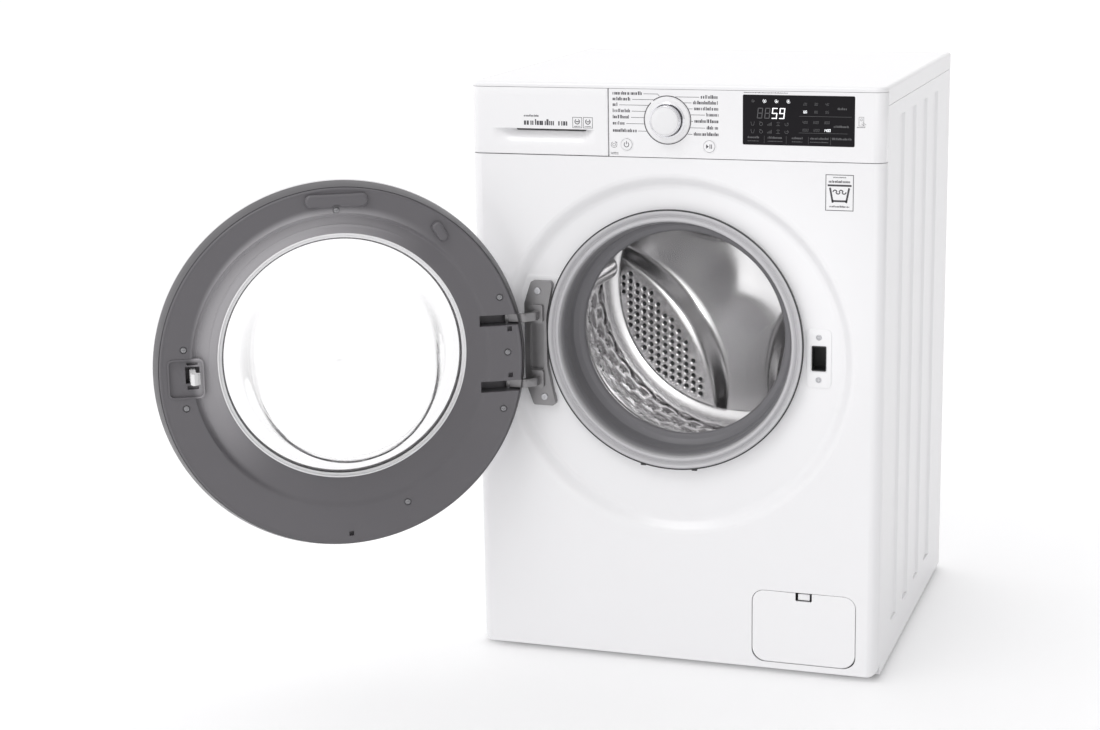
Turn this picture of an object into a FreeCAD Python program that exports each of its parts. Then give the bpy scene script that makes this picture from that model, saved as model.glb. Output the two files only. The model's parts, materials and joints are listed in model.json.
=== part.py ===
import FreeCAD, Part
import math
import os

# A front loading washing machine. Millimetres, +X to the right seen from the front, +Y to the rear, +Z up.
# The origin is the centre of the cabinet's footprint on the floor. Door pieces are drawn in their closed
# place and then turned to the open stop, which is the rest pose.

V = FreeCAD.Vector

# Cabinet
WIDTH = 600.0
HEIGHT = 850.0
FRONT_Y = -280.0
REAR_Y = 280.0
SIDE_X = WIDTH / 2
SHEET = 1.5
SKIRT_Z = 8.0
CORNER_R = 16.0
PANEL_BACK_Y = -262.0
BACK_WALL_Y = 274.0
SEAM_Z = 747.0
WORKTOP_Z = 824.0
LIP_Z = 843.0

# Side ribs, pressed inwards
RIB_YS = (-156.0, -60.0, 38.0, 136.0)
RIB_HALF = 22.0
RIB_FLAT = 13.0
RIB_DEPTH = 3.0
RIB_LOW_Z = 60.0
RIB_HIGH_Z = 802.0

# Washing group axis and the dish pressed round the door opening
DRUM_Z = 485.5
DISH_Z = 462.0
DISH_R = 264.0
DISH_FLOOR_R = 240.0
DISH_DEPTH = 12.0
DISH_Y = FRONT_Y + DISH_DEPTH
MOUTH_R = 183.0

# Door, in its closed place
DOOR_R = 267.0
DOOR_Z = 458.0
RIM_Y = -316.6
FACE_Y = -285.0
FACE_R = 258.0
WALL = 3.0
GLASS_R = 177.0
GLASS_Z = 475.5
HINGE_X = -241.0
HINGE_Y = -307.0
DOOR_OPEN_DEG = 149.0
PIN_R = 3.0
RUNNING = 0.05
BARREL_R = 5.2
ARM_ZS = (417.0, 514.0)
ARM_HALF = 6.0
SLOT_HALF = 8.0
ARM_THICK = 7.0

# Door hook and lock
HOOK_X = 210.0
HOOK_Z = 462.0
HOOK_HALF = 8.0
LOCK_X = 208.3
LOCK_Z = 468.8

# Service flap and drain pump
FLAP_X = (116.0, 268.0)
FLAP_Z = (17.0, 126.0)
FLAP_R = 18.0
FLAP_GAP = 0.8
PUMP_X = 165.0
PUMP_Z = 66.0

# Tub and drum
TUB_R = 260.0
TUB_WALL = 4.0
TUB_FRONT_Y = -196.0
TUB_JOIN_Y = -20.0
TUB_BACK_Y = 172.0
NECK_R = 172.0
DRUM_R = 236.0
DRUM_FRONT_Y = -178.0
DRUM_BACK_Y = 135.0
DRUM_MOUTH_R = 163.0
DRUM_SHEET = 1.5
LIFTER_TIP_R = 190.0
SHAFT_R = 15.0
SHAFT_TAIL_R = 12.5

# Suspension
SPRING_X = 205.0
SPRING_Y = 60.0
SPRING_Z = (688.0, 800.0)
SPRING_R = 14.0
WIRE_R = 2.2
DAMPER_X = 140.0
DAMPER_Y = 10.0
HOSE_XY = (-150.0, -90.0)
SUMP_XY = (PUMP_X, -150.0)

# Console
SPLIT_X = -93.0
GAP = 1.0
DIAL = (-6.5, 800.0)
POWER = (-66.0, 764.6)
START = (53.6, 764.6)
BUTTON_R = 8.0
DISPLAY_X = (101.0, 257.0)
DISPLAY_Z = (768.5, 837.5)
DRAWER_FLOOR_Z = 758.0

# Feet
FOOT_X = 250.0
FOOT_Y = 230.0
FOOT_R = 20.0
STEM_R = 5.0


def box(x, y, z):
    """A block between the (low, high) pairs x, y and z."""
    return Part.makeBox(x[1] - x[0], y[1] - y[0], z[1] - z[0], V(x[0], y[0], z[0]))


def cylinder_y(x, z, r, y):
    return Part.makeCylinder(r, y[1] - y[0], V(x, y[0], z), V(0, 1, 0))


def cylinder_z(x, y, r, z):
    return Part.makeCylinder(r, z[1] - z[0], V(x, y, z[0]))


def cylinder_x(y, z, r, x):
    return Part.makeCylinder(r, x[1] - x[0], V(x[0], y, z), V(1, 0, 0))


def tube_y(x, z, r_in, r_out, y):
    return cylinder_y(x, z, r_out, y).cut(cylinder_y(x, z, r_in, y))


def tube_z(x, y, r_in, r_out, z):
    return cylinder_z(x, y, r_out, z).cut(cylinder_z(x, y, r_in, z))


def join(shapes):
    """One solid from overlapping or touching solids."""
    first = shapes[0]
    rest = shapes[1:]
    return first.fuse(rest).removeSplitter() if rest else first


def in_xz(y):
    return lambda a, b: V(a, y, b)


def in_xy(z):
    return lambda a, b: V(a, b, z)


def outline(points, radii, place):
    """A closed wire through 2-D points, each corner rounded by its radius, laid in a plane by place."""
    if not isinstance(radii, (list, tuple)):
        radii = [radii] * len(points)
    ends = []
    for i, (px, py) in enumerate(points):
        before = points[i - 1]
        after = points[(i + 1) % len(points)]
        to_before = V(before[0] - px, before[1] - py, 0)
        to_after = V(after[0] - px, after[1] - py, 0)
        half = to_before.getAngle(to_after) / 2
        to_before.normalize()
        to_after.normalize()
        corner = V(px, py, 0)
        if radii[i] == 0 or abs(half - math.pi / 2) < 1e-6:
            ends.append((corner, None, corner))
            continue
        reach = radii[i] / math.tan(half)
        bisector = to_before + to_after
        bisector.normalize()
        centre = corner + bisector * (radii[i] / math.sin(half))
        ends.append((corner + to_before * reach, centre - bisector * radii[i], corner + to_after * reach))
    edges = []
    for i, (start, middle, end) in enumerate(ends):
        last = ends[i - 1][2]
        if last.distanceToPoint(start) > 1e-6:
            edges.append(Part.LineSegment(place(last.x, last.y), place(start.x, start.y)).toShape())
        if middle is not None:
            arc = Part.Arc(place(start.x, start.y), place(middle.x, middle.y), place(end.x, end.y))
            edges.append(arc.toShape())
    return Part.Wire(edges)


def plate_y(points, radii, y):
    """A plate with its outline in X and Z, between the two y values."""
    return Part.Face(outline(points, radii, in_xz(y[0]))).extrude(V(0, y[1] - y[0], 0))


def plate_z(points, radii, z):
    """A plate with its outline in X and Y, between the two z values."""
    return Part.Face(outline(points, radii, in_xy(z[0]))).extrude(V(0, 0, z[1] - z[0]))


def rectangle(x, z):
    return [(x[0], z[0]), (x[1], z[0]), (x[1], z[1]), (x[0], z[1])]


def turned(points, radii, x=0.0, z=DRUM_Z):
    """A ring or dish: the outline of (radius, y) points turned once round the Y axis at (x, z)."""
    wire = outline(points, radii, lambda r, y: V(x + r, y, z))
    return Part.Face(wire).revolve(V(x, 0, z), V(0, 1, 0), 360)


def soft_step(r_low, r_high, y_low, y_high, x, z):
    """A dish with an S shaped side, from radius r_low at y_low up to r_high at y_high, one sheet thick."""
    middle = (r_low + r_high) / 2

    def curve(shift):
        poles = [(r_high, y_high), (middle, y_high), (middle, y_low), (r_low, y_low)]
        bezier = Part.BezierCurve()
        bezier.setPoles([V(x + r, y + shift, z) for r, y in poles])
        return bezier.toShape()

    outer = curve(0)
    inner = curve(SHEET)
    rim = Part.LineSegment(V(x + r_high, y_high, z), V(x + r_high, y_high + SHEET, z)).toShape()
    foot = Part.LineSegment(V(x + r_low, y_low, z), V(x + r_low, y_low + SHEET, z)).toShape()
    wire = Part.Wire([rim, inner, foot, outer])
    return Part.Face(wire).revolve(V(x, 0, z), V(0, 1, 0), 360)


def polar(shape, angle, z=DRUM_Z):
    """A copy turned by angle degrees about the washing group's axis."""
    copy = shape.copy()
    copy.rotate(V(0, 0, z), V(0, 1, 0), angle)
    return copy


def opened(shape):
    """A door piece turned from its closed place to its open stop."""
    copy = shape.copy()
    copy.rotate(V(HINGE_X, HINGE_Y, 0), V(0, 0, 1), -DOOR_OPEN_DEG)
    return copy


def screw_y(x, z, y_head, length, facing=-1, head_r=4.2, head=2.2):
    """A cross head screw seated at y_head. Its head stands out along Y on the facing side."""
    pan = cylinder_y(x, z, head_r, (-head, 0))
    pan = pan.makeFillet(head * 0.45, [e for e in pan.Edges if e.BoundBox.YMax < 0.01 - head])
    cross = [box((x - 0.45, x + 0.45), (-head - 1, 1 - head), (z - 2.2, z + 2.2)),
             box((x - 2.2, x + 2.2), (-head - 1, 1 - head), (z - 0.45, z + 0.45))]
    screw = join([pan, cylinder_y(x, z, 2.0, (-0.5, length))]).cut(cross)
    if facing > 0:
        screw.rotate(V(x, 0, z), V(0, 0, 1), 180)
    screw.translate(V(0, y_head, 0))
    return screw


def save(name, shape):
    solids = shape.Solids
    result = solids[0] if len(solids) == 1 else Part.makeCompound(solids)
    if not result.isValid():
        print("invalid", name)
    result.exportStep("parts/" + name + ".step")
    print(name, len(solids), round(result.Volume / 1000, 1))


# Cabinet

def side_panel(side):
    """A side sheet with its front flange and four ribs pressed inwards."""
    high = WORKTOP_Z - 0.5
    face = side * SIDE_X
    back = face - side * SHEET
    panel = box(sorted((face, back)), (PANEL_BACK_Y, BACK_WALL_Y - SHEET), (SKIRT_Z, high))
    flange_x = sorted((back, side * (SIDE_X - 16)))
    panel = panel.fuse(box(flange_x, (PANEL_BACK_Y, PANEL_BACK_Y + SHEET), (SKIRT_Z, high)))
    for y in RIB_YS:
        dent = [(face, y - RIB_HALF), (face - side * RIB_DEPTH, y - RIB_FLAT),
                (face - side * RIB_DEPTH, y + RIB_FLAT), (face, y + RIB_HALF)]
        bump = [(back, y - RIB_HALF), (back - side * RIB_DEPTH, y - RIB_FLAT),
                (back - side * RIB_DEPTH, y + RIB_FLAT), (back, y + RIB_HALF)]
        panel = panel.fuse(plate_z(bump, 0, (RIB_LOW_Z - SHEET, RIB_HIGH_Z + SHEET)))
        panel = panel.cut(plate_z(dent, 0, (RIB_LOW_Z, RIB_HIGH_Z)))
    return panel.removeSplitter()


def rear_wall():
    back_y = (BACK_WALL_Y - 5, BACK_WALL_Y + 5)
    wall = box((-SIDE_X, SIDE_X), (BACK_WALL_Y - SHEET, BACK_WALL_Y), (SKIRT_Z, WORKTOP_Z - 0.5))
    wall = wall.cut(plate_y(rectangle((-180, 180), (305, 665)), 50, back_y))
    for x, z, r in REAR_HOLES:
        wall = wall.cut(cylinder_y(x, z, r, back_y))
    for x, z in REAR_SCREWS:
        wall = wall.cut(cylinder_y(x, z, 2.0, back_y))
    return wall


INLET = (-160.0, 770.0)
DRAIN = (262.0, 620.0)
GLAND = (215.0, 772.0)
TRANSIT = ((-225.0, 640.0), (225.0, 560.0), (-225.0, 330.0), (225.0, 330.0))
REAR_HOLES = [(*INLET, 14.0), (*DRAIN, 11.0), (*GLAND, 9.0)] + [(x, z, 16.0) for x, z in TRANSIT]


def front_panel():
    ends = (PANEL_BACK_Y, FRONT_Y)
    plan = [(-SIDE_X, ends[0]), (-SIDE_X, ends[1]), (SIDE_X, ends[1]), (SIDE_X, ends[0])]
    t = SHEET
    inside = [(-SIDE_X + t, ends[0] + 1), (-SIDE_X + t, ends[1] + t),
              (SIDE_X - t, ends[1] + t), (SIDE_X - t, ends[0] + 1)]
    top_z = SEAM_Z - GAP / 2
    outer = plate_z(plan, [0, CORNER_R, CORNER_R, 0], (SKIRT_Z, top_z))
    outer = outer.common(plate_y(rectangle((-SIDE_X, SIDE_X), (SKIRT_Z, HEIGHT)), [CORNER_R, CORNER_R, 0, 0],
                                 (FRONT_Y - 1, PANEL_BACK_Y)))
    hollow = plate_z(inside, [0, CORNER_R - t, CORNER_R - t, 0], (SKIRT_Z + t, top_z - t))
    panel = outer.cut(hollow)
    panel = panel.cut(cylinder_y(0, DISH_Z, DISH_R - 0.5, (FRONT_Y - 1, FRONT_Y + t + 0.5)))
    dish = soft_step(DISH_FLOOR_R, DISH_R, DISH_Y, FRONT_Y, 0, DISH_Z)
    floor = cylinder_y(0, DISH_Z, DISH_FLOOR_R, (DISH_Y, DISH_Y + t))
    flange = tube_y(0, DRUM_Z, MOUTH_R, MOUTH_R + t, (DISH_Y, DISH_Y + 3))
    panel = panel.fuse([dish, floor, flange])
    panel = panel.cut(cylinder_y(0, DRUM_Z, MOUTH_R, (FRONT_Y, PANEL_BACK_Y + 10)))
    lock = rectangle((LOCK_X - 10.5, LOCK_X + 10.5), (LOCK_Z - 18, LOCK_Z + 18))
    panel = panel.cut(plate_y(lock, 2, (DISH_Y - 5, DISH_Y + 5)))
    flap = plate_y(rectangle(FLAP_X, FLAP_Z), FLAP_R, (FRONT_Y - 1, FRONT_Y + 5))
    ledge = plate_y(rectangle((FLAP_X[0] - 6, FLAP_X[1] + 6), (FLAP_Z[0] - 6, FLAP_Z[1] + 6)), FLAP_R + 6,
                    (FRONT_Y + t, FRONT_Y + 9))
    well = plate_y(rectangle(FLAP_X, FLAP_Z), FLAP_R, (FRONT_Y, FRONT_Y + 10))
    panel = panel.fuse(ledge.cut(well)).cut(flap)
    for x, z in HINGE_SCREWS + LOCK_SCREWS:
        panel = panel.cut(cylinder_y(x, z, 2.0, (DISH_Y - 5, DISH_Y + 5)))
    return panel.removeSplitter()


HINGE_SCREWS = [(-203.0, 549.0), (-195.0, 392.0)]
LOCK_SCREWS = [(LOCK_X, LOCK_Z + 30.5), (LOCK_X, LOCK_Z - 30.5)]


def worktop():
    plan = [(-SIDE_X, PANEL_BACK_Y), (SIDE_X, PANEL_BACK_Y), (SIDE_X, REAR_Y), (-SIDE_X, REAR_Y)]
    top = plate_z(plan, [0, 0, 4, 4], (WORKTOP_Z, HEIGHT))
    lip_plan = [(-SIDE_X, FRONT_Y), (SIDE_X, FRONT_Y), (SIDE_X, PANEL_BACK_Y + 10), (-SIDE_X, PANEL_BACK_Y + 10)]
    lip = plate_z(lip_plan, [CORNER_R, CORNER_R, 0, 0], (LIP_Z, HEIGHT))
    top = join([top, lip])
    high_edges = [e for e in top.Edges if e.BoundBox.ZMin > HEIGHT - 0.01]
    top = top.makeFillet(5.0, high_edges)
    pocket = box((-SIDE_X + 9, SIDE_X - 9), (PANEL_BACK_Y + 8, REAR_Y - 12), (WORKTOP_Z - 1, HEIGHT - 14))
    return top.cut(pocket)


def base_pan():
    x = SIDE_X - SHEET - 0.5
    y = (PANEL_BACK_Y + 4, BACK_WALL_Y - SHEET - 0.5)
    tray = box((-x, x), y, (12, 32)).cut(box((-x + 2, x - 2), (y[0] + 2, y[1] - 2), (24, 50)))
    tray = tray.cut(box((-x + 2, x - 2), (y[0] + 2, y[1] - 2), (0, 22)))
    shapes = [tray]
    for sx in (-1, 1):
        for sy in (-1, 1):
            shapes.append(cylinder_z(sx * FOOT_X, sy * FOOT_Y, 14, (22, 40)))
        shapes.append(cylinder_z(sx * DAMPER_X, DAMPER_Y, 24, (22, 50)))
    pan = join(shapes)
    for sx in (-1, 1):
        for sy in (-1, 1):
            pan = pan.cut(cylinder_z(sx * FOOT_X, sy * FOOT_Y, STEM_R + RUNNING, (0, 60)))
    return pan


def rear_cover():
    flange = plate_y(rectangle((-198, 198), (287, 683)), 60, (BACK_WALL_Y, BACK_WALL_Y + 1.2))
    dome = Part.makeCone(168, 150, REAR_Y - BACK_WALL_Y, V(0, BACK_WALL_Y, DRUM_Z), V(0, 1, 0))
    hollow = Part.makeCone(166.8, 148.8, REAR_Y - BACK_WALL_Y, V(0, BACK_WALL_Y - 1.2, DRUM_Z), V(0, 1, 0))
    cover = join([flange, dome]).cut(hollow)
    for x, z in REAR_SCREWS:
        cover = cover.cut(cylinder_y(x, z, 2.0, (BACK_WALL_Y - 5, REAR_Y)))
    return cover


REAR_SCREWS = [(sx * 188, z) for sx in (-1, 1) for z in (350.0, 485.5, 621.0)]


def rear_screws():
    return Part.makeCompound([screw_y(x, z, BACK_WALL_Y + 1.2, 6, facing=1) for x, z in REAR_SCREWS])


def transit_caps():
    shapes = []
    for x, z in TRANSIT:
        head = cylinder_y(x, z, 20, (BACK_WALL_Y, BACK_WALL_Y + 3))
        shapes.append(join([head, cylinder_y(x, z, 15.6, (BACK_WALL_Y - 8, BACK_WALL_Y))]))
    return Part.makeCompound(shapes)


def crossbar():
    bar = box((-SIDE_X + 2, SIDE_X - 2), (PANEL_BACK_Y + 2, PANEL_BACK_Y + 18), (728, 745))
    return bar.cut(box((-SIDE_X, SIDE_X), (PANEL_BACK_Y + 4, PANEL_BACK_Y + 19), (730, 743)))


def spring_hanger(side):
    x = side * SPRING_X
    wall = side * (SIDE_X - SHEET - RIB_DEPTH - 0.5)
    arm = box(sorted((x - side * 20, wall)), (SPRING_Y - 18, SPRING_Y + 18), (800, 804))
    back = box(sorted((wall, wall - side * 3)), (SPRING_Y - 18, SPRING_Y + 18), (760, 804))
    return join([arm, back])


# Feet

def foot(x, y):
    pad = cylinder_z(x, y, FOOT_R, (0, 10))
    pad = pad.makeFillet(2.5, [pad.Edges[0]])
    return join([pad, cylinder_z(x, y, STEM_R, (9, 50))])


def foot_lock_nuts():
    shapes = []
    for sx in (-1, 1):
        for sy in (-1, 1):
            x = sx * FOOT_X
            y = sy * FOOT_Y
            ring = [(x + 9.8 * math.cos(math.radians(a)), y + 9.8 * math.sin(math.radians(a)))
                    for a in range(0, 360, 60)]
            nut = plate_z(ring, 0, (15, 22))
            shapes.append(nut.cut(cylinder_z(x, y, STEM_R + RUNNING, (14, 23))))
    return Part.makeCompound(shapes)


# Console

def console():
    low = SEAM_Z + GAP / 2
    high = LIP_Z - GAP / 2
    y0 = FRONT_Y
    y1 = PANEL_BACK_Y - 0.3
    x0 = SPLIT_X + GAP
    t = 3.0
    outer = plate_z([(x0, y0), (SIDE_X, y0), (SIDE_X, y1), (x0, y1)], [1, CORNER_R, 0, 0], (low, high))
    inner = plate_z([(x0 + t, y0 + t), (SIDE_X - t, y0 + t), (SIDE_X - t, y1 + 1), (x0 + t, y1 + 1)],
                    [0, CORNER_R - t, 0, 0], (low + t, high - t))
    panel = outer.cut(inner)
    front = (y0 - 1, y0 + t + 1)
    panel = panel.cut(plate_y(rectangle(DISPLAY_X, DISPLAY_Z), 2, front))
    for x, z in (POWER, START):
        panel = panel.cut(cylinder_y(x, z, BUTTON_R + 0.4, front))
    return panel.cut(cylinder_y(*DIAL, 6, front))


def display_window():
    gap = 0.3
    outline_points = rectangle((DISPLAY_X[0] + gap, DISPLAY_X[1] - gap), (DISPLAY_Z[0] + gap, DISPLAY_Z[1] - gap))
    return plate_y(outline_points, 1.8, (FRONT_Y + 0.2, FRONT_Y + 2.6))


def display_board():
    board = box((DISPLAY_X[0] - 4, DISPLAY_X[1] + 4), (FRONT_Y + 6, FRONT_Y + 7.6), (754, 838))
    digits = box((DISPLAY_X[0] + 20, DISPLAY_X[1] - 60), (FRONT_Y + 3, FRONT_Y + 6), (790, 832))
    return join([board, digits])


def dial_encoder():
    x, z = DIAL
    body = box((x - 9, x + 9), (FRONT_Y + 5, FRONT_Y + 15), (z - 9, z + 9))
    board = box((x - 70, x + 78), (FRONT_Y + 12, FRONT_Y + 13.6), (753, 830))
    body = join([body, board])
    return body.cut(cylinder_y(x, z, 3.0 + RUNNING, (FRONT_Y, FRONT_Y + 11)))


def dial_knob():
    x, z = DIAL
    profile = [(0, -296), (20.5, -296), (21.5, -281.2), (3.0, -281.2), (3.0, -270), (0, -270)]
    return turned(profile, [0, 2.5, 0.5, 0, 0.5, 0], x, z)


def dial_ring():
    x, z = DIAL
    profile = [(22.5, -280.0), (22.5, -281.8), (24.0, -282.6), (31.5, -282.0), (32.8, -280.0)]
    return turned(profile, [0, 0.4, 0.6, 0.8, 0], x, z)


def push_button(x, z):
    cap = cylinder_y(x, z, BUTTON_R, (FRONT_Y - 1.2, FRONT_Y + 4.2))
    cap = cap.makeFillet(0.8, [e for e in cap.Edges if e.BoundBox.YMax < FRONT_Y - 1.1])
    flange = cylinder_y(x, z, BUTTON_R + 1.5, (FRONT_Y + 3.4, FRONT_Y + 5))
    return join([cap, flange, cylinder_y(x, z, 2.5, (FRONT_Y + 4, FRONT_Y + 9))])


# Detergent drawer

DRAWER_X = (-283.0, -112.0)
DRAWER_Y = (PANEL_BACK_Y - 0.3, -20.0)


def drawer_front():
    low = SEAM_Z + GAP / 2
    high = LIP_Z - GAP / 2
    y1 = PANEL_BACK_Y - 0.3
    plan = [(-SIDE_X, FRONT_Y), (SPLIT_X - GAP / 2, FRONT_Y), (SPLIT_X - GAP / 2, y1), (-SIDE_X, y1)]
    t = 3.0
    shell = plate_z(plan, [CORNER_R, 1, 0, 0], (low, high))
    inner = plate_z([(-SIDE_X + t, FRONT_Y + t), (SPLIT_X - GAP / 2 - t, FRONT_Y + t),
                     (SPLIT_X - GAP / 2 - t, y1 - t), (-SIDE_X + t, y1 - t)],
                    [8, 0, 0, 0], (low + t, high - t))
    shell = shell.cut(inner)
    # The finger grip: a scoop under a straight upper edge, with a pocket wall behind it
    grip_x = (-233.0, -127.0)
    grip_z = (768.0, 784.0)
    bottom = [(grip_x[0], grip_z[1]), (grip_x[1], grip_z[1]), (grip_x[1] - 24, grip_z[0]), (grip_x[0] + 24, grip_z[0])]
    pocket = plate_y(bottom, [1, 1, 20, 20], (FRONT_Y - 1, FRONT_Y + 12))
    wall = [(grip_x[0] - 3, grip_z[1] + 6), (grip_x[1] + 3, grip_z[1] + 6),
            (grip_x[1] - 22, grip_z[0] - 3), (grip_x[0] + 22, grip_z[0] - 3)]
    shell = shell.fuse(plate_y(wall, [1, 1, 20, 20], (FRONT_Y + 1, FRONT_Y + 14)))
    return shell.cut(pocket).removeSplitter()


def drawer_tray():
    t = 2.0
    low = DRAWER_FLOOR_Z
    high = 806.0
    tray = box(DRAWER_X, DRAWER_Y, (low, high))
    for x, y in DRAWER_BAYS:
        tray = tray.cut(box(x, y, (low + t, high + 1)))
    return tray


DRAWER_BAYS = [
    ((-281.0, -202.0), (-256.0, -22.0)),
    ((-200.0, -156.0), (-256.0, -22.0)),
    ((-154.0, -114.0), (-256.0, -22.0)),
]


def siphon_insert():
    x = (-153.4, -114.6)
    y = (-140.0, -60.0)
    plate = box(x, y, (800, 802))
    pipe = tube_z(-134, -100, 3.0, 5.0, (764, 801))
    skirt = tube_z(-134, -100, 7.5, 9.0, (764, 801))
    return join([plate, pipe, skirt])


def dispenser_housing():
    t = 2.0
    gap = 1.2
    x = (DRAWER_X[0] - gap, DRAWER_X[1] + gap)
    y = (PANEL_BACK_Y + 4, DRAWER_Y[1] + 16)
    low = DRAWER_FLOOR_Z - gap
    outer = box((x[0] - t, x[1] + t), y, (low - t, 822))
    inner = box(x, (y[0] - 1, y[1] - t), (low, 820))
    outlet = cylinder_z(*HOSE_XY, 14, (low - t - 1, low + 1))
    return outer.cut(inner).cut(outlet)


def dispenser_hose():
    low = DRAWER_FLOOR_Z - 3.2
    return bellows(*HOSE_XY, 15.0, 18.5, (716, low), 4)


def bellows(x, y, r_in, r_out, z, folds):
    """A vertical ribbed hose with a wall two millimetres thick."""
    pitch = (z[1] - z[0]) / folds
    outer = []
    for i in range(folds):
        low = z[0] + i * pitch
        outer += [(r_in + 2, low), (r_in + 2, low + pitch * 0.3), (r_out, low + pitch * 0.5),
                  (r_out, low + pitch * 0.8)]
    outer.append((r_in + 2, z[1]))
    points = outer + [(r_in, z[1]), (r_in, z[0])]
    wire = Part.makePolygon([V(x + r, y, h) for r, h in points + points[:1]])
    return Part.Face(wire).revolve(V(x, y, 0), V(0, 0, 1), 360)


def inlet_valve():
    x, z = INLET
    flange = cylinder_y(x, z, 18, (BACK_WALL_Y - SHEET - 4, BACK_WALL_Y - SHEET))
    neck = cylinder_y(x, z, 12.3, (BACK_WALL_Y - 6, BACK_WALL_Y + 2))
    thread = cylinder_y(x, z, 13.2, (BACK_WALL_Y + 1, BACK_WALL_Y + 16))
    block = box((x - 18, x + 18), (BACK_WALL_Y - 44, BACK_WALL_Y - 5), (z - 14, z + 14))
    coil = box((x - 12, x + 12), (BACK_WALL_Y - 42, BACK_WALL_Y - 16), (z + 14, z + 42))
    spout = cylinder_y(x, z, 7, (BACK_WALL_Y - 58, BACK_WALL_Y - 40))
    body = join([flange, neck, thread, block, coil, spout])
    return body.cut(cylinder_y(x, z, 8.5, (BACK_WALL_Y - 4, BACK_WALL_Y + 20)))


def inlet_hose():
    x, z = INLET
    return tube_y(x, z, 5, 8, (DRAWER_Y[1] + 16, BACK_WALL_Y - 58))


def mains_gland():
    x, z = GLAND
    head = turned([(4.5, BACK_WALL_Y), (13, BACK_WALL_Y), (10, BACK_WALL_Y + 5), (4.5, BACK_WALL_Y + 5)],
                  [0, 0, 1, 0.5], x, z)
    return join([head, tube_y(x, z, 4.5, 8.9, (BACK_WALL_Y - 6, BACK_WALL_Y))])


def control_module():
    case = box((100, 285), (-220, -60), (765, 818))
    case = case.makeFillet(4, [e for e in case.Edges if abs(e.BoundBox.ZLength) > 50])
    fins = [box((110 + i * 12, 116 + i * 12), (-60, -54), (770, 812)) for i in range(14)]
    return join([case] + fins)


# Door

def hinge_arm_path(z):
    """A flat swan neck from the pin's barrel to the bracket, in plan."""
    t = ARM_THICK / 2
    neck = [(HINGE_X, HINGE_Y - t), (-214, HINGE_Y - t + 1), (-200.5, -293), (-200.5, -270),
            (-208, -270), (-208, -291), (-216, HINGE_Y + t + 1), (HINGE_X, HINGE_Y + t)]
    return plate_z(neck, [0, 9, 6, 0, 0, 4, 6, 0], (z - ARM_HALF, z + ARM_HALF))


CHANNEL_X = (-216.0, -195.0)


def hinge_bracket():
    edge = [(-212, 379), (-178, 379), (-190.5, 438), (-190.5, 512), (-180.5, 563), (-213, 563), (-224, 530),
            (-224, 412)]
    plate = plate_y(edge, [4, 5, 60, 60, 5, 5, 12, 12], (-279, DISH_Y))
    channel = plate_y(rectangle(CHANNEL_X, (433, 500)), 3, (-280, -273))
    shapes = [plate.cut(channel)]
    for z in ARM_ZS:
        boss = plate_y(rectangle(CHANNEL_X, (z - 11, z + 15)), 3, (-283.5, -270))
        shapes.append(boss)
        shapes.append(hinge_arm_path(z))
        shapes.append(cylinder_z(HINGE_X, HINGE_Y, BARREL_R, (z - ARM_HALF, z + ARM_HALF)))
    bracket = join(shapes)
    bracket = bracket.cut(cylinder_z(HINGE_X, HINGE_Y, PIN_R + RUNNING, (380, 560)))
    for x, z in HINGE_SCREWS:
        bracket = bracket.cut(cylinder_y(x, z, 2.0, (-290, DISH_Y + 1)))
    return bracket


def hinge_screws():
    return Part.makeCompound([screw_y(x, z, -279, 14, head_r=5.0) for x, z in HINGE_SCREWS])


def hinge_pin():
    return cylinder_z(HINGE_X, HINGE_Y, PIN_R, (398, 533))


DOOR_SCREWS = [(223.0, 499.0), (223.0, 415.0), (-227.0, 548.0), (-237.0, 467.0), (-229.0, 384.0),
               (-85.0, 255.0), (2.0, 685.0)]


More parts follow.
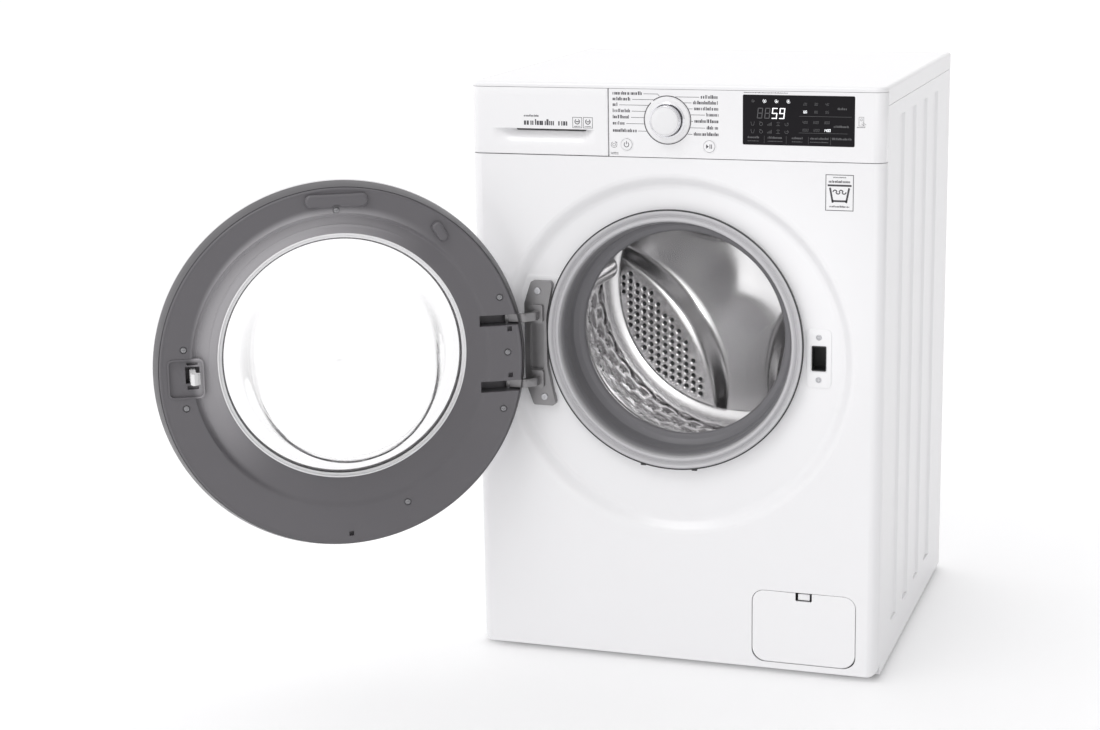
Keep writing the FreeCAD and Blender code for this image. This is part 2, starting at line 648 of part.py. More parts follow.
def door_inner_frame():
    ring_y = (RIM_Y + 2.6, FACE_Y)
    back = ring_y[0]
    outer = Part.makeCone(DOOR_R - 1, FACE_R, ring_y[1] - back, V(0, back, DOOR_Z), V(0, 1, 0))
    outer = outer.makeFillet(3.0, [e for e in outer.Edges if e.BoundBox.YMin > FACE_Y - 0.01 and e.Length > 100])
    hollow = Part.makeCone(DOOR_R - 1 - WALL, FACE_R - WALL, ring_y[1] - WALL - back, V(0, back, DOOR_Z), V(0, 1, 0))
    frame = outer.cut(hollow)
    hub = tube_y(0, GLASS_Z, GLASS_R + 8, GLASS_R + 11, (back, FACE_Y - WALL))
    blocks = [hub]
    for x, z in DOOR_SCREWS:
        blocks.append(cylinder_y(x, z, 6, (back, FACE_Y - WALL)))
    blocks.append(box((-259, -222), (back, FACE_Y - 1), (394, 537)))
    blocks.append(box((196, 228), (back, FACE_Y - 1), (440, 484)))
    lip = cylinder_y(0, DOOR_Z, FACE_R - 2, (back, FACE_Y))
    frame = frame.fuse([b.common(lip) for b in blocks])
    # Raised bumper pads on the face: a wide one at the top with a notch for the screw, and an oval one
    pad = plate_y(rectangle((-43, 46), (689, 708)), 8, (FACE_Y - 1, FACE_Y + 6))
    notch = cylinder_y(2, 685, 9, (FACE_Y - 2, FACE_Y + 7))
    oval = plate_y([(-156, 638), (-144, 634), (-130, 656), (-142, 664)], 5, (FACE_Y - 1, FACE_Y + 5))
    rim = rectangle((196, 247), (429, 486))
    latch = plate_y(rim, 8, (FACE_Y - 1, FACE_Y + 2)).cut(plate_y(rectangle((190, 244.5), (431.5, 483.5)), 6,
                                                                   (FACE_Y - 2, FACE_Y + 3)))
    frame = frame.fuse([pad.cut(notch), oval, latch])
    frame = frame.cut(cylinder_y(0, GLASS_Z, GLASS_R, (back - 1, FACE_Y + 1)))
    for z in ARM_ZS:
        frame = frame.cut(box((-280, -197), (HINGE_Y - 5.8, FACE_Y + 1), (z - SLOT_HALF, z + SLOT_HALF)))
    frame = frame.cut(cylinder_z(HINGE_X, HINGE_Y, PIN_R, (398, 533)))
    for x, z in DOOR_SCREWS:
        frame = frame.cut(cylinder_y(x, z, 2.0, (back - 1, FACE_Y + 1)))
    frame = frame.cut(box((HOOK_X - 8, HOOK_X + 12), (back + 3, FACE_Y + 1), (HOOK_Z - 12, HOOK_Z + 12)))
    frame = frame.cut(cylinder_z(HOOK_X + 2, HOOK_PIN_Y, HOOK_PIN_R, (HOOK_Z - 16, HOOK_Z + 16)))
    for x, z in ((-240.5, 501.0), (-240.5, 433.0), (-2.0, 214.0)):
        frame = frame.cut(box((x - 3, x + 3), (FACE_Y - 6, FACE_Y + 1), (z - 3, z + 3)))
    return frame.removeSplitter()


HOOK_PIN_Y = -301.0
HOOK_PIN_R = 1.5


def door_cover():
    back = RIM_Y + 2.6
    profile = [(DOOR_R - 2.0, back), (DOOR_R, RIM_Y), (DOOR_R - 7, RIM_Y - 8), (238, -334), (206, -341),
               (191, -341), (191, -337), (206, -337), (236, -330), (DOOR_R - 11, RIM_Y - 6), (DOOR_R - 11, back)]
    return turned(profile, [0.5, 1.5, 8, 20, 3, 1, 1, 3, 20, 6, 0], 0, DOOR_Z)


def door_window():
    profile = [(0, -345), (120, -344.2), (190.7, -340), (190.7, -337), (120, -341), (0, -341.8)]
    return turned(profile, [0, 60, 0.5, 0.5, 60, 0], 0, DOOR_Z)


def door_glass():
    y = FACE_Y - WALL - 4
    profile = [(GLASS_R + 6, y), (GLASS_R + 6, y + 4), (160, y + 4), (154, y + 8), (150, y + 30), (138, y + 52),
               (122, y + 74), (98, y + 88), (0, y + 92), (0, y + 87), (96, y + 83), (118, y + 70),
               (133.5, y + 50), (145.5, y + 29), (149.5, y)]
    radii = [1, 1, 3, 4, 30, 40, 30, 30, 0, 0, 30, 30, 40, 25, 3]
    return turned(profile, radii, 0, GLASS_Z)


def glass_clamp():
    y = FACE_Y - WALL - 4
    profile = [(168, y - 5), (GLASS_R + 7, y - 5), (GLASS_R + 7, y), (168, y)]
    return turned(profile, 1, 0, GLASS_Z)


def door_hook():
    x = HOOK_X
    z = (HOOK_Z - HOOK_HALF, HOOK_Z + HOOK_HALF)
    shape = [(x - 2, -306), (x + 6, -306), (x + 6, -262), (x + 2, -254), (x - 4, -258), (x - 8, -264), (x - 2, -266)]
    hook = plate_z(shape, [3, 3, 2, 2, 1, 1, 1], z)
    return hook.cut(cylinder_z(x + 2, HOOK_PIN_Y, HOOK_PIN_R + RUNNING, (HOOK_Z - 20, HOOK_Z + 20)))


def hook_pin():
    return cylinder_z(HOOK_X + 2, HOOK_PIN_Y, HOOK_PIN_R, (HOOK_Z - 16, HOOK_Z + 16))


def door_screws():
    shapes = [screw_y(x, z, FACE_Y, 18, facing=1, head_r=4.0, head=1.2) for x, z in DOOR_SCREWS]
    return Part.makeCompound(shapes)


def door_lock():
    body = box((LOCK_X - 16, LOCK_X + 28), (DISH_Y + SHEET, -224), (LOCK_Z - 38, LOCK_Z + 38))
    nose = plate_y(rectangle((LOCK_X - 10.3, LOCK_X + 10.3), (LOCK_Z - 17.8, LOCK_Z + 17.8)), 2,
                   (DISH_Y - 1, DISH_Y + 4))
    lock = join([body, nose])
    slot = box((LOCK_X - 9, LOCK_X + 9.2), (DISH_Y - 3, DISH_Y + 6), (LOCK_Z - 16.4, LOCK_Z + 16.4))
    well = box((LOCK_X - 13, LOCK_X + 14), (DISH_Y + 5, -238), (LOCK_Z - 18, LOCK_Z + 18))
    lock = lock.cut([slot, well])
    for x, z in LOCK_SCREWS:
        lock = lock.cut(cylinder_y(x, z, 2.0, (-280, -240)))
    return lock


def lock_screws():
    return Part.makeCompound([screw_y(x, z, DISH_Y, 14, head_r=4.2) for x, z in LOCK_SCREWS])


# Service flap and drain

def service_flap():
    g = FLAP_GAP
    plate = plate_y(rectangle((FLAP_X[0] + g, FLAP_X[1] - g), (FLAP_Z[0] + g, FLAP_Z[1] - g)),
                   [FLAP_R + 2.5, FLAP_R + 2.5, FLAP_R - g, FLAP_R - g], (FRONT_Y, FRONT_Y + 3))
    bottom = [e for e in plate.Edges if e.BoundBox.ZMax < FLAP_Z[0] + g + 0.01]
    plate = plate.makeFillet(1.2, bottom)
    middle = (FLAP_X[0] + FLAP_X[1]) / 2
    notch = plate_y(rectangle((middle - 12, middle + 12), (FLAP_Z[1] - 13, FLAP_Z[1] + 5)), 2,
                    (FRONT_Y - 1, FRONT_Y + 5))
    latch = box((middle - 9, middle + 9), (FRONT_Y + 2, FRONT_Y + 6), (FLAP_Z[1] - 20, FLAP_Z[1] - 14))
    return join([plate.cut(notch), latch])


def drain_pump():
    x, z = PUMP_X, PUMP_Z
    chamber = cylinder_y(x, z, 31, (-261, -130))
    flange = box((x - 38, x + 38), (-264, -260), (28, 104))
    inlet = cylinder_z(*SUMP_XY, 17, (z, 100))
    motor = cylinder_y(x, z, 27, (-132, -78))
    outlet = cylinder_x(-136, z, 10, (x + 20, x + 60))
    stand = box((x - 20, x + 20), (-240, -140), (24, 50))
    pump = join([chamber, flange, inlet, motor, outlet, stand])
    pump = pump.cut(cylinder_y(x, z, 27, (-270, -140)))
    return pump.cut(cylinder_z(*SUMP_XY, 14, (z, 101)))


def pump_filter():
    x, z = PUMP_X, PUMP_Z
    cap = cylinder_y(x, z, 26.6, (-267, -246))
    grip = box((x - 4, x + 4), (-273, -266), (z - 20, z + 20))
    cage = tube_y(x, z, 20, 22, (-247, -180))
    windows = [box((x - 30, x + 30), (-240 + i * 14, -233 + i * 14), (z - 5, z + 5)) for i in range(4)]
    return join([cap, grip, cage]).cut(windows)


def sump_hose():
    return bellows(*SUMP_XY, 15.0, 20.0, (100, 255), 8)


def drain_pipe():
    """The pump's outlet pipe, back along the right side and up to the rear wall."""
    x, z = PUMP_X, PUMP_Z
    start = V(x + 60, -136, z)
    route = [start, V(DRAIN[0], -136, z), V(DRAIN[0], 246, z), V(DRAIN[0], 246, DRAIN[1]),
             V(DRAIN[0], BACK_WALL_Y + 22, DRAIN[1])]
    radii = [24, 34, 20]
    edges = []
    last = start
    for i, radius in enumerate(radii):
        corner = route[i + 1]
        into = (corner - route[i]).normalize()
        away = (route[i + 2] - corner).normalize()
        first = corner - into * radius
        end = corner + away * radius
        centre = corner - into * radius + away * radius
        middle = centre + (corner - centre).normalize() * radius
        edges.append(Part.LineSegment(last, first).toShape())
        edges.append(Part.Arc(first, middle, end).toShape())
        last = end
    edges.append(Part.LineSegment(last, route[-1]).toShape())
    path = Part.Wire(edges)
    circle = Part.Wire(Part.makeCircle(10, start, V(1, 0, 0)))
    core = Part.Wire(Part.makeCircle(7.5, start, V(1, 0, 0)))
    return path.makePipeShell([circle], True, False).cut(path.makePipeShell([core], True, False))


# Tub

def tub_front():
    r = TUB_R
    o = TUB_R + TUB_WALL
    y0 = TUB_FRONT_Y
    profile = [(NECK_R, y0 - 10), (NECK_R + 4, y0 - 10), (NECK_R + 4, y0), (o, y0), (o, TUB_JOIN_Y - 8),
               (o + 8, TUB_JOIN_Y - 8), (o + 8, TUB_JOIN_Y), (r, TUB_JOIN_Y), (r, y0 + 4), (NECK_R, y0 + 4)]
    shell = turned(profile, [0.5, 0.5, 2, 10, 2, 1, 0, 0, 6, 1])
    inside = cylinder_y(0, DRUM_Z, r, (y0 + 4, TUB_JOIN_Y + 10))
    stub = cylinder_z(*HOSE_XY, 17, (690, 716)).cut(inside)
    sump = cylinder_z(*SUMP_XY, 17, (255, 300)).cut(inside)
    shell = join([shell, stub, sump])
    return shell.cut([cylinder_z(*HOSE_XY, 14, (680, 717)), cylinder_z(*SUMP_XY, 14, (254, 302))])


def tub_rear():
    r = TUB_R
    o = TUB_R + TUB_WALL
    back = TUB_BACK_Y
    profile = [(r, TUB_JOIN_Y), (o + 8, TUB_JOIN_Y), (o + 8, TUB_JOIN_Y + 8), (o, TUB_JOIN_Y + 8), (o, back + 4),
               (48, back + 4), (48, 228), (26, 228), (26, 212), (22, 212), (22, 196), (31, 196), (31, back - 2),
               (50, back - 2), (60, back), (r, back)]
    shell = turned(profile, [0, 0, 1, 2, 12, 2, 1, 0, 0, 0, 0, 0, 0, 1, 2, 6])
    shapes = [shell]
    outer = cylinder_y(0, DRUM_Z, o, (0, 300))
    for i in range(12):
        rib = box((-2, 2), (back + 3, back + 13), (DRUM_Z + 46, DRUM_Z + o - 8))
        shapes.append(polar(rib, i * 30))
    inside = cylinder_y(0, DRUM_Z, r, (TUB_JOIN_Y - 10, back))
    for side in (-1, 1):
        ear_x = (side * SPRING_X - 9, side * SPRING_X + 9)
        ear = box(ear_x, (SPRING_Y - 16, SPRING_Y + 16), (630, SPRING_Z[0]))
        shapes.append(ear.cut(inside))
        knee = box((side * DAMPER_X - 12, side * DAMPER_X + 12), (DAMPER_Y - 14, DAMPER_Y + 14), (240, 290))
        shapes.append(knee.cut(inside))
    shell = join(shapes)
    heater_hole = plate_y(rectangle((-48, 48), (DRUM_Z - 256, DRUM_Z - 236)), 8, (back - 5, back + 9))
    return shell.cut(heater_hole)


def counterweight(start, sweep):
    """A concrete crescent on the tub's front wall."""
    y = (TUB_FRONT_Y - 30, TUB_FRONT_Y - 1)
    profile = [(192, y[0]), (252, y[0]), (252, y[1]), (192, y[1])]
    wire = outline(profile, 6, lambda r, h: V(r, h, DRUM_Z))
    block = Part.Face(wire).revolve(V(0, 0, DRUM_Z), V(0, 1, 0), sweep)
    return polar(block, start)


def gasket():
    profile = [(187, -281.5), (187, -268.1), (182.8, -268.1), (182.8, -257), (180, -250), (187, -240), (187, -232),
               (181, -224), (180.5, -198), (176.2, -198), (176.2, -207), (170, -210), (156, -214), (150, -219),
               (150, -223), (156, -225), (167, -231), (167, -260), (172, -270), (173, -281.5)]
    radii = [3, 0.5, 0.5, 1, 3, 3, 3, 3, 0.8, 0.5, 1, 2, 2, 1.5, 1.5, 2, 4, 6, 4, 3]
    return turned(profile, radii)


def gasket_clamp():
    ring = Part.makeTorus(182.6, 1.6, V(0, -202.5, DRUM_Z), V(0, 1, 0))
    return ring


def heater():
    x = 36.0
    z = DRUM_Z - 247.0
    r = 4.0
    legs = [cylinder_y(sx * x, z, r, (-112, TUB_BACK_Y + 16)) for sx in (-1, 1)]
    bend = Part.makeTorus(x, r, V(0, -112, z), V(0, 0, 1), -180, 180, 180)
    bend.rotate(V(0, -112, z), V(0, 0, 1), 180)
    plate = plate_y(rectangle((-47.5, 47.5), (z - 8.5, z + 10.5)), 7.5, (TUB_BACK_Y - 1, TUB_BACK_Y + 8))
    return join(legs + [bend, plate])


def stator():
    core = tube_y(0, DRUM_Z, 48.2, 84, (198, 224))
    teeth = []
    count = 36
    for i in range(count):
        tooth = box((-3, 3), (202, 220), (DRUM_Z + 80, DRUM_Z + 122))
        shoe = box((-7, 7), (200, 222), (DRUM_Z + 120, DRUM_Z + 125))
        coil = box((-5, 5), (200, 222), (DRUM_Z + 86, DRUM_Z + 116))
        teeth.append(polar(join([tooth, shoe, coil]), i * 360 / count))
    return join([core] + teeth)


def rotor():
    profile = [(SHAFT_TAIL_R, 232), (30, 232), (30, 238), (138, 238), (138, 196), (141, 196), (141, 243), (34, 243),
               (30, 246), (SHAFT_TAIL_R, 246)]
    cup = turned(profile, [0, 2, 2, 3, 0.5, 0.5, 5, 2, 1, 0])
    vents = [polar(plate_y(rectangle((-7, 7), (DRUM_Z + 62, DRUM_Z + 112)), 6, (236, 245)), i * 30) for i in range(12)]
    return cup.cut(vents)


def rotor_magnets():
    return tube_y(0, DRUM_Z, 128.5, 138, (199, 236))


def rotor_bolt():
    ring = [(14 * math.cos(math.radians(a)), DRUM_Z + 14 * math.sin(math.radians(a))) for a in range(0, 360, 60)]
    return join([cylinder_y(0, DRUM_Z, 20, (246, 248.5)), plate_y(ring, 0, (248.5, 256))])


def bearing(r_in, r_out, y):
    """Inner and outer races with a row of balls, shields left off, as one sealed unit."""
    width = y[1] - y[0]
    middle = (y[0] + y[1]) / 2
    race = (r_out - r_in) * 0.28
    inner = tube_y(0, DRUM_Z, r_in, r_in + race, y)
    outer = tube_y(0, DRUM_Z, r_out - race, r_out, y)
    seal = tube_y(0, DRUM_Z, r_in + race - 0.5, r_out - race + 0.5, (middle - width * 0.4, middle + width * 0.4))
    return join([inner, outer, seal])


def shaft_seal():
    profile = [(SHAFT_R + RUNNING, 173), (18, 171.5), (31, 171.5), (31, 179.5), (27, 179.5), (27, 175),
               (SHAFT_R + RUNNING, 176)]
    return turned(profile, [0, 0.5, 0.5, 0.5, 0.5, 1, 0])


# Drum

def drum_shell():
    return tube_y(0, DRUM_Z, DRUM_R, DRUM_R + DRUM_SHEET, (DRUM_FRONT_Y + 4, DRUM_BACK_Y + 4))


def drum_front():
    t = DRUM_SHEET
    y = DRUM_FRONT_Y
    profile = [(DRUM_R - t, y + 18), (DRUM_R, y + 18), (DRUM_R, y + 4), (DRUM_R - 6, y), (DRUM_MOUTH_R + 8, y),
               (DRUM_MOUTH_R + 5, y - 4), (DRUM_MOUTH_R + 1, y - 4), (DRUM_MOUTH_R, y), (DRUM_MOUTH_R, y + 6),
               (DRUM_MOUTH_R + t, y + 6), (DRUM_MOUTH_R + 3, y + t), (DRUM_R - 7, y + t), (DRUM_R - t, y + 6)]
    return turned(profile, [0, 0, 4, 4, 3, 1.5, 1.5, 1, 0.5, 0.5, 1, 3, 3])


def drum_back():
    t = DRUM_SHEET
    y = DRUM_BACK_Y
    front = [(DRUM_R, y - 14), (DRUM_R, y), (214, y), (208, y - 9), (196, y - 9), (190, y - 2), (90, y - 2),
             (60, y - 14), (0, y - 14)]
    back = [(0, y - 14 + t), (60, y - 14 + t), (90, y - 2 + t), (190, y - 2 + t), (196, y - 9 + t),
            (208, y - 9 + t), (214, y + t), (DRUM_R - 2 * t, y + t)]
    radii = [0, 0, 4, 4, 4, 4, 20, 20, 0, 0, 20, 20, 4, 3, 3, 4, 2, 0]
    inner_flange = (DRUM_R - t, y - 14)
    points = [front[0], (DRUM_R, y + t)] + back[::-1]
    loop = points + front[::-1][:-2] + [(DRUM_R - t, y), inner_flange]
    return turned(loop, 0)


def lifter(angle):
    """A pressed lifter, open towards the drum wall."""
    z = DRUM_Z
    section = [(-34, z + 232), (34, z + 232), (12, z + LIFTER_TIP_R), (-12, z + LIFTER_TIP_R)]
    body = plate_y(section, [0, 0, 10, 10], (-146, 104))
    body = join([body, box((-34, 34), (-146, 104), (z + 229, z + DRUM_R))])
    body = body.common(cylinder_y(0, z, DRUM_R - 0.02, (-146, 104)))
    hollow = [(-29, z + 240), (29, z + 240), (10, z + LIFTER_TIP_R + 2.5), (-10, z + LIFTER_TIP_R + 2.5)]
    body = body.cut(plate_y(hollow, [0, 0, 8, 8], (-117, 75)))
    slope = 26.0
    for end, lean in ((-146, 1), (104, -1)):
        wedge = Part.Face(Part.makePolygon([V(-60, end, z + 228), V(-60, end, z + 150),
                                            V(-60, end + lean * slope, z + 150), V(-60, end, z + 228)]))
        body = body.cut(wedge.extrude(V(120, 0, 0)))
    return polar(body, angle)


def drum_spider():
    hub = cylinder_y(0, DRUM_Z, 32, (140, 169))
    shapes = [hub]
    arm_profile = [(-20, DRUM_Z + 20), (20, DRUM_Z + 20), (14, DRUM_Z + 226), (-14, DRUM_Z + 226)]
    for i in range(3):
        shapes.append(polar(plate_y(arm_profile, [0, 0, 6, 6], (DRUM_BACK_Y + DRUM_SHEET, 146)), 60 + i * 120))
        rib = box((-3, 3), (145, 160), (DRUM_Z + 20, DRUM_Z + 200))
        shapes.append(polar(rib, 60 + i * 120))
    spider = join(shapes)
    return spider.cut(cylinder_y(0, DRUM_Z, SHAFT_R, (130, 180)))


def drum_shaft():
    return join([cylinder_y(0, DRUM_Z, SHAFT_R, (141, 197)), cylinder_y(0, DRUM_Z, SHAFT_TAIL_R, (196, 246))])


# Suspension

def spring(side):
    x = side * SPRING_X
    height = SPRING_Z[1] - SPRING_Z[0] - 2 * WIRE_R
    turns = 11
    helix = Part.makeHelix(height / turns, height, SPRING_R)
    circle = Part.Wire(Part.makeCircle(WIRE_R, V(SPRING_R, 0, 0), V(0, 1, 0)))
    coil = Part.Wire(helix).makePipeShell([circle], True, True)
    coil.translate(V(x, SPRING_Y, SPRING_Z[0] + WIRE_R))
    return coil


def damper_cylinder(side):
    x = side * DAMPER_X
    return join([tube_z(x, DAMPER_Y, 13.2, 17, (50, 172)), tube_z(x, DAMPER_Y, 6.6, 17, (168, 176)),
                 cylinder_z(x, DAMPER_Y, 17, (50, 56))])


def damper_rod(side):
    x = side * DAMPER_X
    return join([cylinder_z(x, DAMPER_Y, 6, (112, 240)), cylinder_z(x, DAMPER_Y, 12.7, (96, 122)),
                 cylinder_z(x, DAMPER_Y, 10, (228, 240))])


def group(shapes):
    """Separate solids kept in one node."""
    return Part.makeCompound(shapes)


def both_sides(make):
    return group([make(-1), make(1)])


def main():
    os.makedirs("parts", exist_ok=True)
    save("side_panel_left", side_panel(-1))
    save("side_panel_right", side_panel(1))
    save("rear_wall", rear_wall())
    save("front_panel", front_panel())
    save("worktop", worktop())
    save("base_pan", base_pan())
    save("rear_cover", rear_cover())
    save("rear_grommets", group([transit_caps(), mains_gland()]))
    save("cabinet_brackets", group([crossbar(), spring_hanger(-1), spring_hanger(1)]))
    save("cabinet_fasteners", group([rear_screws(), hinge_screws(), lock_screws(), foot_lock_nuts()]))
    save("suspension_springs", both_sides(spring))
    save("damper_cylinders", both_sides(damper_cylinder))
    save("damper_rods", both_sides(damper_rod))
    for name, side in (("left", -1), ("right", 1)):
        save("foot_front_" + name, foot(side * FOOT_X, -FOOT_Y))
        save("foot_rear_" + name, foot(side * FOOT_X, FOOT_Y))
    save("control_panel", console())
    save("display_window", display_window())
    save("control_boards", group([display_board(), dial_encoder(), control_module()]))
    save("programme_dial", dial_knob())
    save("dial_ring", dial_ring())
    save("power_button", push_button(*POWER))
    save("start_button", push_button(*START))
    save("drawer_front", drawer_front())
    save("drawer_tray", drawer_tray())
    save("siphon_insert", siphon_insert())
    save("dispenser_housing", dispenser_housing())
    save("dispenser_hose", dispenser_hose())
    save("inlet_valve", group([inlet_valve(), inlet_hose()]))
    save("hinge_bracket", hinge_bracket())
    save("door_lock", door_lock())
    save("door_inner_frame", opened(door_inner_frame()))
    save("door_cover", opened(door_cover()))
    save("door_window", opened(door_window()))
    save("door_glass", opened(door_glass()))
    save("glass_clamp_ring", opened(glass_clamp()))
    save("door_hook", opened(door_hook()))
    save("door_pins", opened(group([hinge_pin(), hook_pin()])))
    save("door_screws", opened(door_screws()))
    save("service_flap", service_flap())
    save("drain_pump", drain_pump())
    save("pump_filter", pump_filter())
    save("sump_hose", sump_hose())
    save("drain_pipe", drain_pipe())
    save("tub_front", tub_front())
    save("tub_rear", tub_rear())
    save("counterweights", group([counterweight(200, 140), counterweight(30, 120)]))
    save("door_gasket", gasket())
    save("gasket_clamp", gasket_clamp())
    save("heater", heater())
    save("stator", stator())
    save("rotor", group([rotor(), rotor_magnets(), rotor_bolt()]))
    save("tub_bearings", group([bearing(SHAFT_R + RUNNING, 31, (180, 196)),
                                bearing(SHAFT_TAIL_R + RUNNING, 26, (212, 227)), shaft_seal()]))
    save("drum_shell", drum_shell())
    save("drum_front", drum_front())
    save("drum_back", drum_back())
    save("drum_lifters", group([lifter(40 + i * 120) for i in range(3)]))
    save("drum_spider", drum_spider())
    save("drum_shaft", drum_shaft())


main()
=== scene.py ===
import json
import math
import random

import bmesh
import bpy
from mathutils import Matrix, Vector
from mathutils.geometry import delaunay_2d_cdt


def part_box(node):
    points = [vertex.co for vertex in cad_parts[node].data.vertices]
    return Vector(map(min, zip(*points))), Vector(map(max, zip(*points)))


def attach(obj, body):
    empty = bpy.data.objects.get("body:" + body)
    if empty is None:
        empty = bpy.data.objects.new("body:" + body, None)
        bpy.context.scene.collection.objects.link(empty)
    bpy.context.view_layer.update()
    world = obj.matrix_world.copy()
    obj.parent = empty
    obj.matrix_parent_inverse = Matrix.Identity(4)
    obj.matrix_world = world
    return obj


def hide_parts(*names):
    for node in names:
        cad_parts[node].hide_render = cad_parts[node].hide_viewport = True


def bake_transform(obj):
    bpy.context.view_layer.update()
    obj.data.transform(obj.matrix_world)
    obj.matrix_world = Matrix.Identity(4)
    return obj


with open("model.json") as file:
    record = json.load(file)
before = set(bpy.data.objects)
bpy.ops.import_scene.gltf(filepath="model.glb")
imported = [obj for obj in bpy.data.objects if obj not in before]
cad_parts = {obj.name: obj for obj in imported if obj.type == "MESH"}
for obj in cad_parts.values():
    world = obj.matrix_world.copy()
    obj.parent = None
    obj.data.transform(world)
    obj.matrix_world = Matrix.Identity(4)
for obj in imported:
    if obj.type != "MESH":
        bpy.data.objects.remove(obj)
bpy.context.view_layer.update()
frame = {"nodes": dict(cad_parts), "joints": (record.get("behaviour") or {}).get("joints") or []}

# Meshes are drawn in millimetres, in the frame's axes: X right, Y back, Z up.
MM = 0.001


def span(node):
    """A CAD node's box in millimetres, as (low, high) along X, Y and Z."""
    low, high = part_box(node)
    return [(low[i] / MM, high[i] / MM) for i in range(3)]


def joint(name):
    return next(j for j in frame["joints"] if j["name"] == name)


SHELL = span("drum_shell")
DRUM_Z = sum(SHELL[2]) / 2
DRUM_R = (SHELL[0][1] - SHELL[0][0]) / 2 - 1.5
FRONT_Y = span("front_panel")[1][0]
HINGE = [v / MM for v in joint("door_hinge")["pos_m"]]
DOOR_OPEN = math.radians(joint("door_hinge")["range_deg"][1])
DOOR_TURN = Matrix.Translation((HINGE[0], HINGE[1], 0)) @ Matrix.Rotation(-DOOR_OPEN, 4, "Z") \
    @ Matrix.Translation((-HINGE[0], -HINGE[1], 0))


# ---------------------------------------------------------------- camera, lights and floor

CAMERA_ANGLES = (18.989, 12.925, -1.023)    # yaw, pitch and roll in degrees
CAMERA_PLACE = (0.8277, -3.2252, 1.1547)
SKY = 1.12
SKY_CHANGES = (("Z", 0.04), ("X", -0.80))   # change of strength from overhead and from the right


def camera():
    """A 72 mm lens on a full-frame sensor, from the front right and a little above."""
    yaw, pitch, roll = (math.radians(a) for a in CAMERA_ANGLES)
    ahead = Vector((-math.sin(yaw) * math.cos(pitch), math.cos(yaw) * math.cos(pitch), -math.sin(pitch)))
    right = Vector((math.cos(yaw), math.sin(yaw), 0))
    up = right.cross(ahead)
    tilted_right = math.cos(roll) * right + math.sin(roll) * up
    tilted_up = math.cos(roll) * up - math.sin(roll) * right
    turn = Matrix((tilted_right, tilted_up, -ahead)).transposed().to_4x4()
    data = bpy.data.cameras.new("camera")
    data.lens = 71.9
    data.sensor_width = 36.0
    data.clip_end = 50
    cam = bpy.data.objects.new("camera", data)
    cam.matrix_world = Matrix.Translation(CAMERA_PLACE) @ turn
    bpy.context.scene.collection.objects.link(cam)
    bpy.context.scene.camera = cam


def sky():
    """Soft light from all round, a little stronger overhead and much weaker from the right."""
    world = bpy.data.worlds.new("studio")
    world.use_nodes = True
    tree = world.node_tree
    axes = tree.nodes.new("ShaderNodeSeparateXYZ")
    tree.links.new(tree.nodes.new("ShaderNodeTexCoord").outputs["Generated"], axes.inputs[0])
    total = None
    for axis, change in SKY_CHANGES:
        above = tree.nodes.new("ShaderNodeMath")
        above.operation = "MAXIMUM"
        above.inputs[1].default_value = 0.0
        tree.links.new(axes.outputs[axis], above.inputs[0])
        step = tree.nodes.new("ShaderNodeMath")
        step.operation = "MULTIPLY_ADD"
        step.inputs[1].default_value = change
        step.inputs[2].default_value = SKY
        tree.links.new(above.outputs[0], step.inputs[0])
        if total:
            tree.links.new(total, step.inputs[2])
        total = step.outputs[0]
    tree.links.new(total, tree.nodes["Background"].inputs["Strength"])
    tree.nodes["Background"].inputs["Color"].default_value = (1.0, 0.995, 1.0, 1)
    bpy.context.scene.world = world


def light(name, kind, place, ahead, **settings):
    """A lamp at a place, shining along a direction."""
    lamp = bpy.data.lights.new(name, kind)
    for key, value in settings.items():
        setattr(lamp, key, value)
    holder = bpy.data.objects.new(name, lamp)
    holder.location = place
    holder.rotation_euler = ahead.to_track_quat("-Z", "Y").to_euler()
    bpy.context.scene.collection.objects.link(holder)
    return holder


def studio():
    """The sky, a small spot into the drum, a weak soft sun from the upper left and a pale floor."""
    bpy.context.scene.view_settings.view_transform = "Standard"
    sky()
    spot_place = Vector((0.62, -2.2, 1.05))
    light("drum_fill", "SPOT", spot_place, Vector((0.0, 0.0, 0.465)) - spot_place, energy=42,
          spot_size=math.radians(8.4), spot_blend=0.7, shadow_soft_size=0.14)
    sun = light("upper_light", "SUN", (0, 0, 0), Vector((0.35, 0.62, -1.0)), energy=0.5,
                angle=math.radians(24))
    half = 20000
    floor = new_object("studio_floor", [(-half, -half, 0), (half, -half, 0), (half, half, 0),
                                        (-half, half, 0)],
                       [(0, 1, 2, 3)])
    paint = Finish("floor", (0.95, 0.95, 0.955), 0.8)
    paint.mottle(3, 0.004)
    paint.set("Emission Color", (1, 1, 1, 1))
    paint.set("Emission Strength", 0.13)
    floor.data.materials.append(paint.material)
    unlit = bpy.data.collections.new("not_lit_from_above")
    unlit.objects.link(floor)
    sun.light_linking.receiver_collection = unlit
    unlit.collection_objects[0].light_linking.link_state = "EXCLUDE"


# ---------------------------------------------------------------- materials

DEEPEST_AND_PAINTED_LIGHT_SIDE = math.radians(52)    # where the band round the glass is deepest, and where its painted light is palest
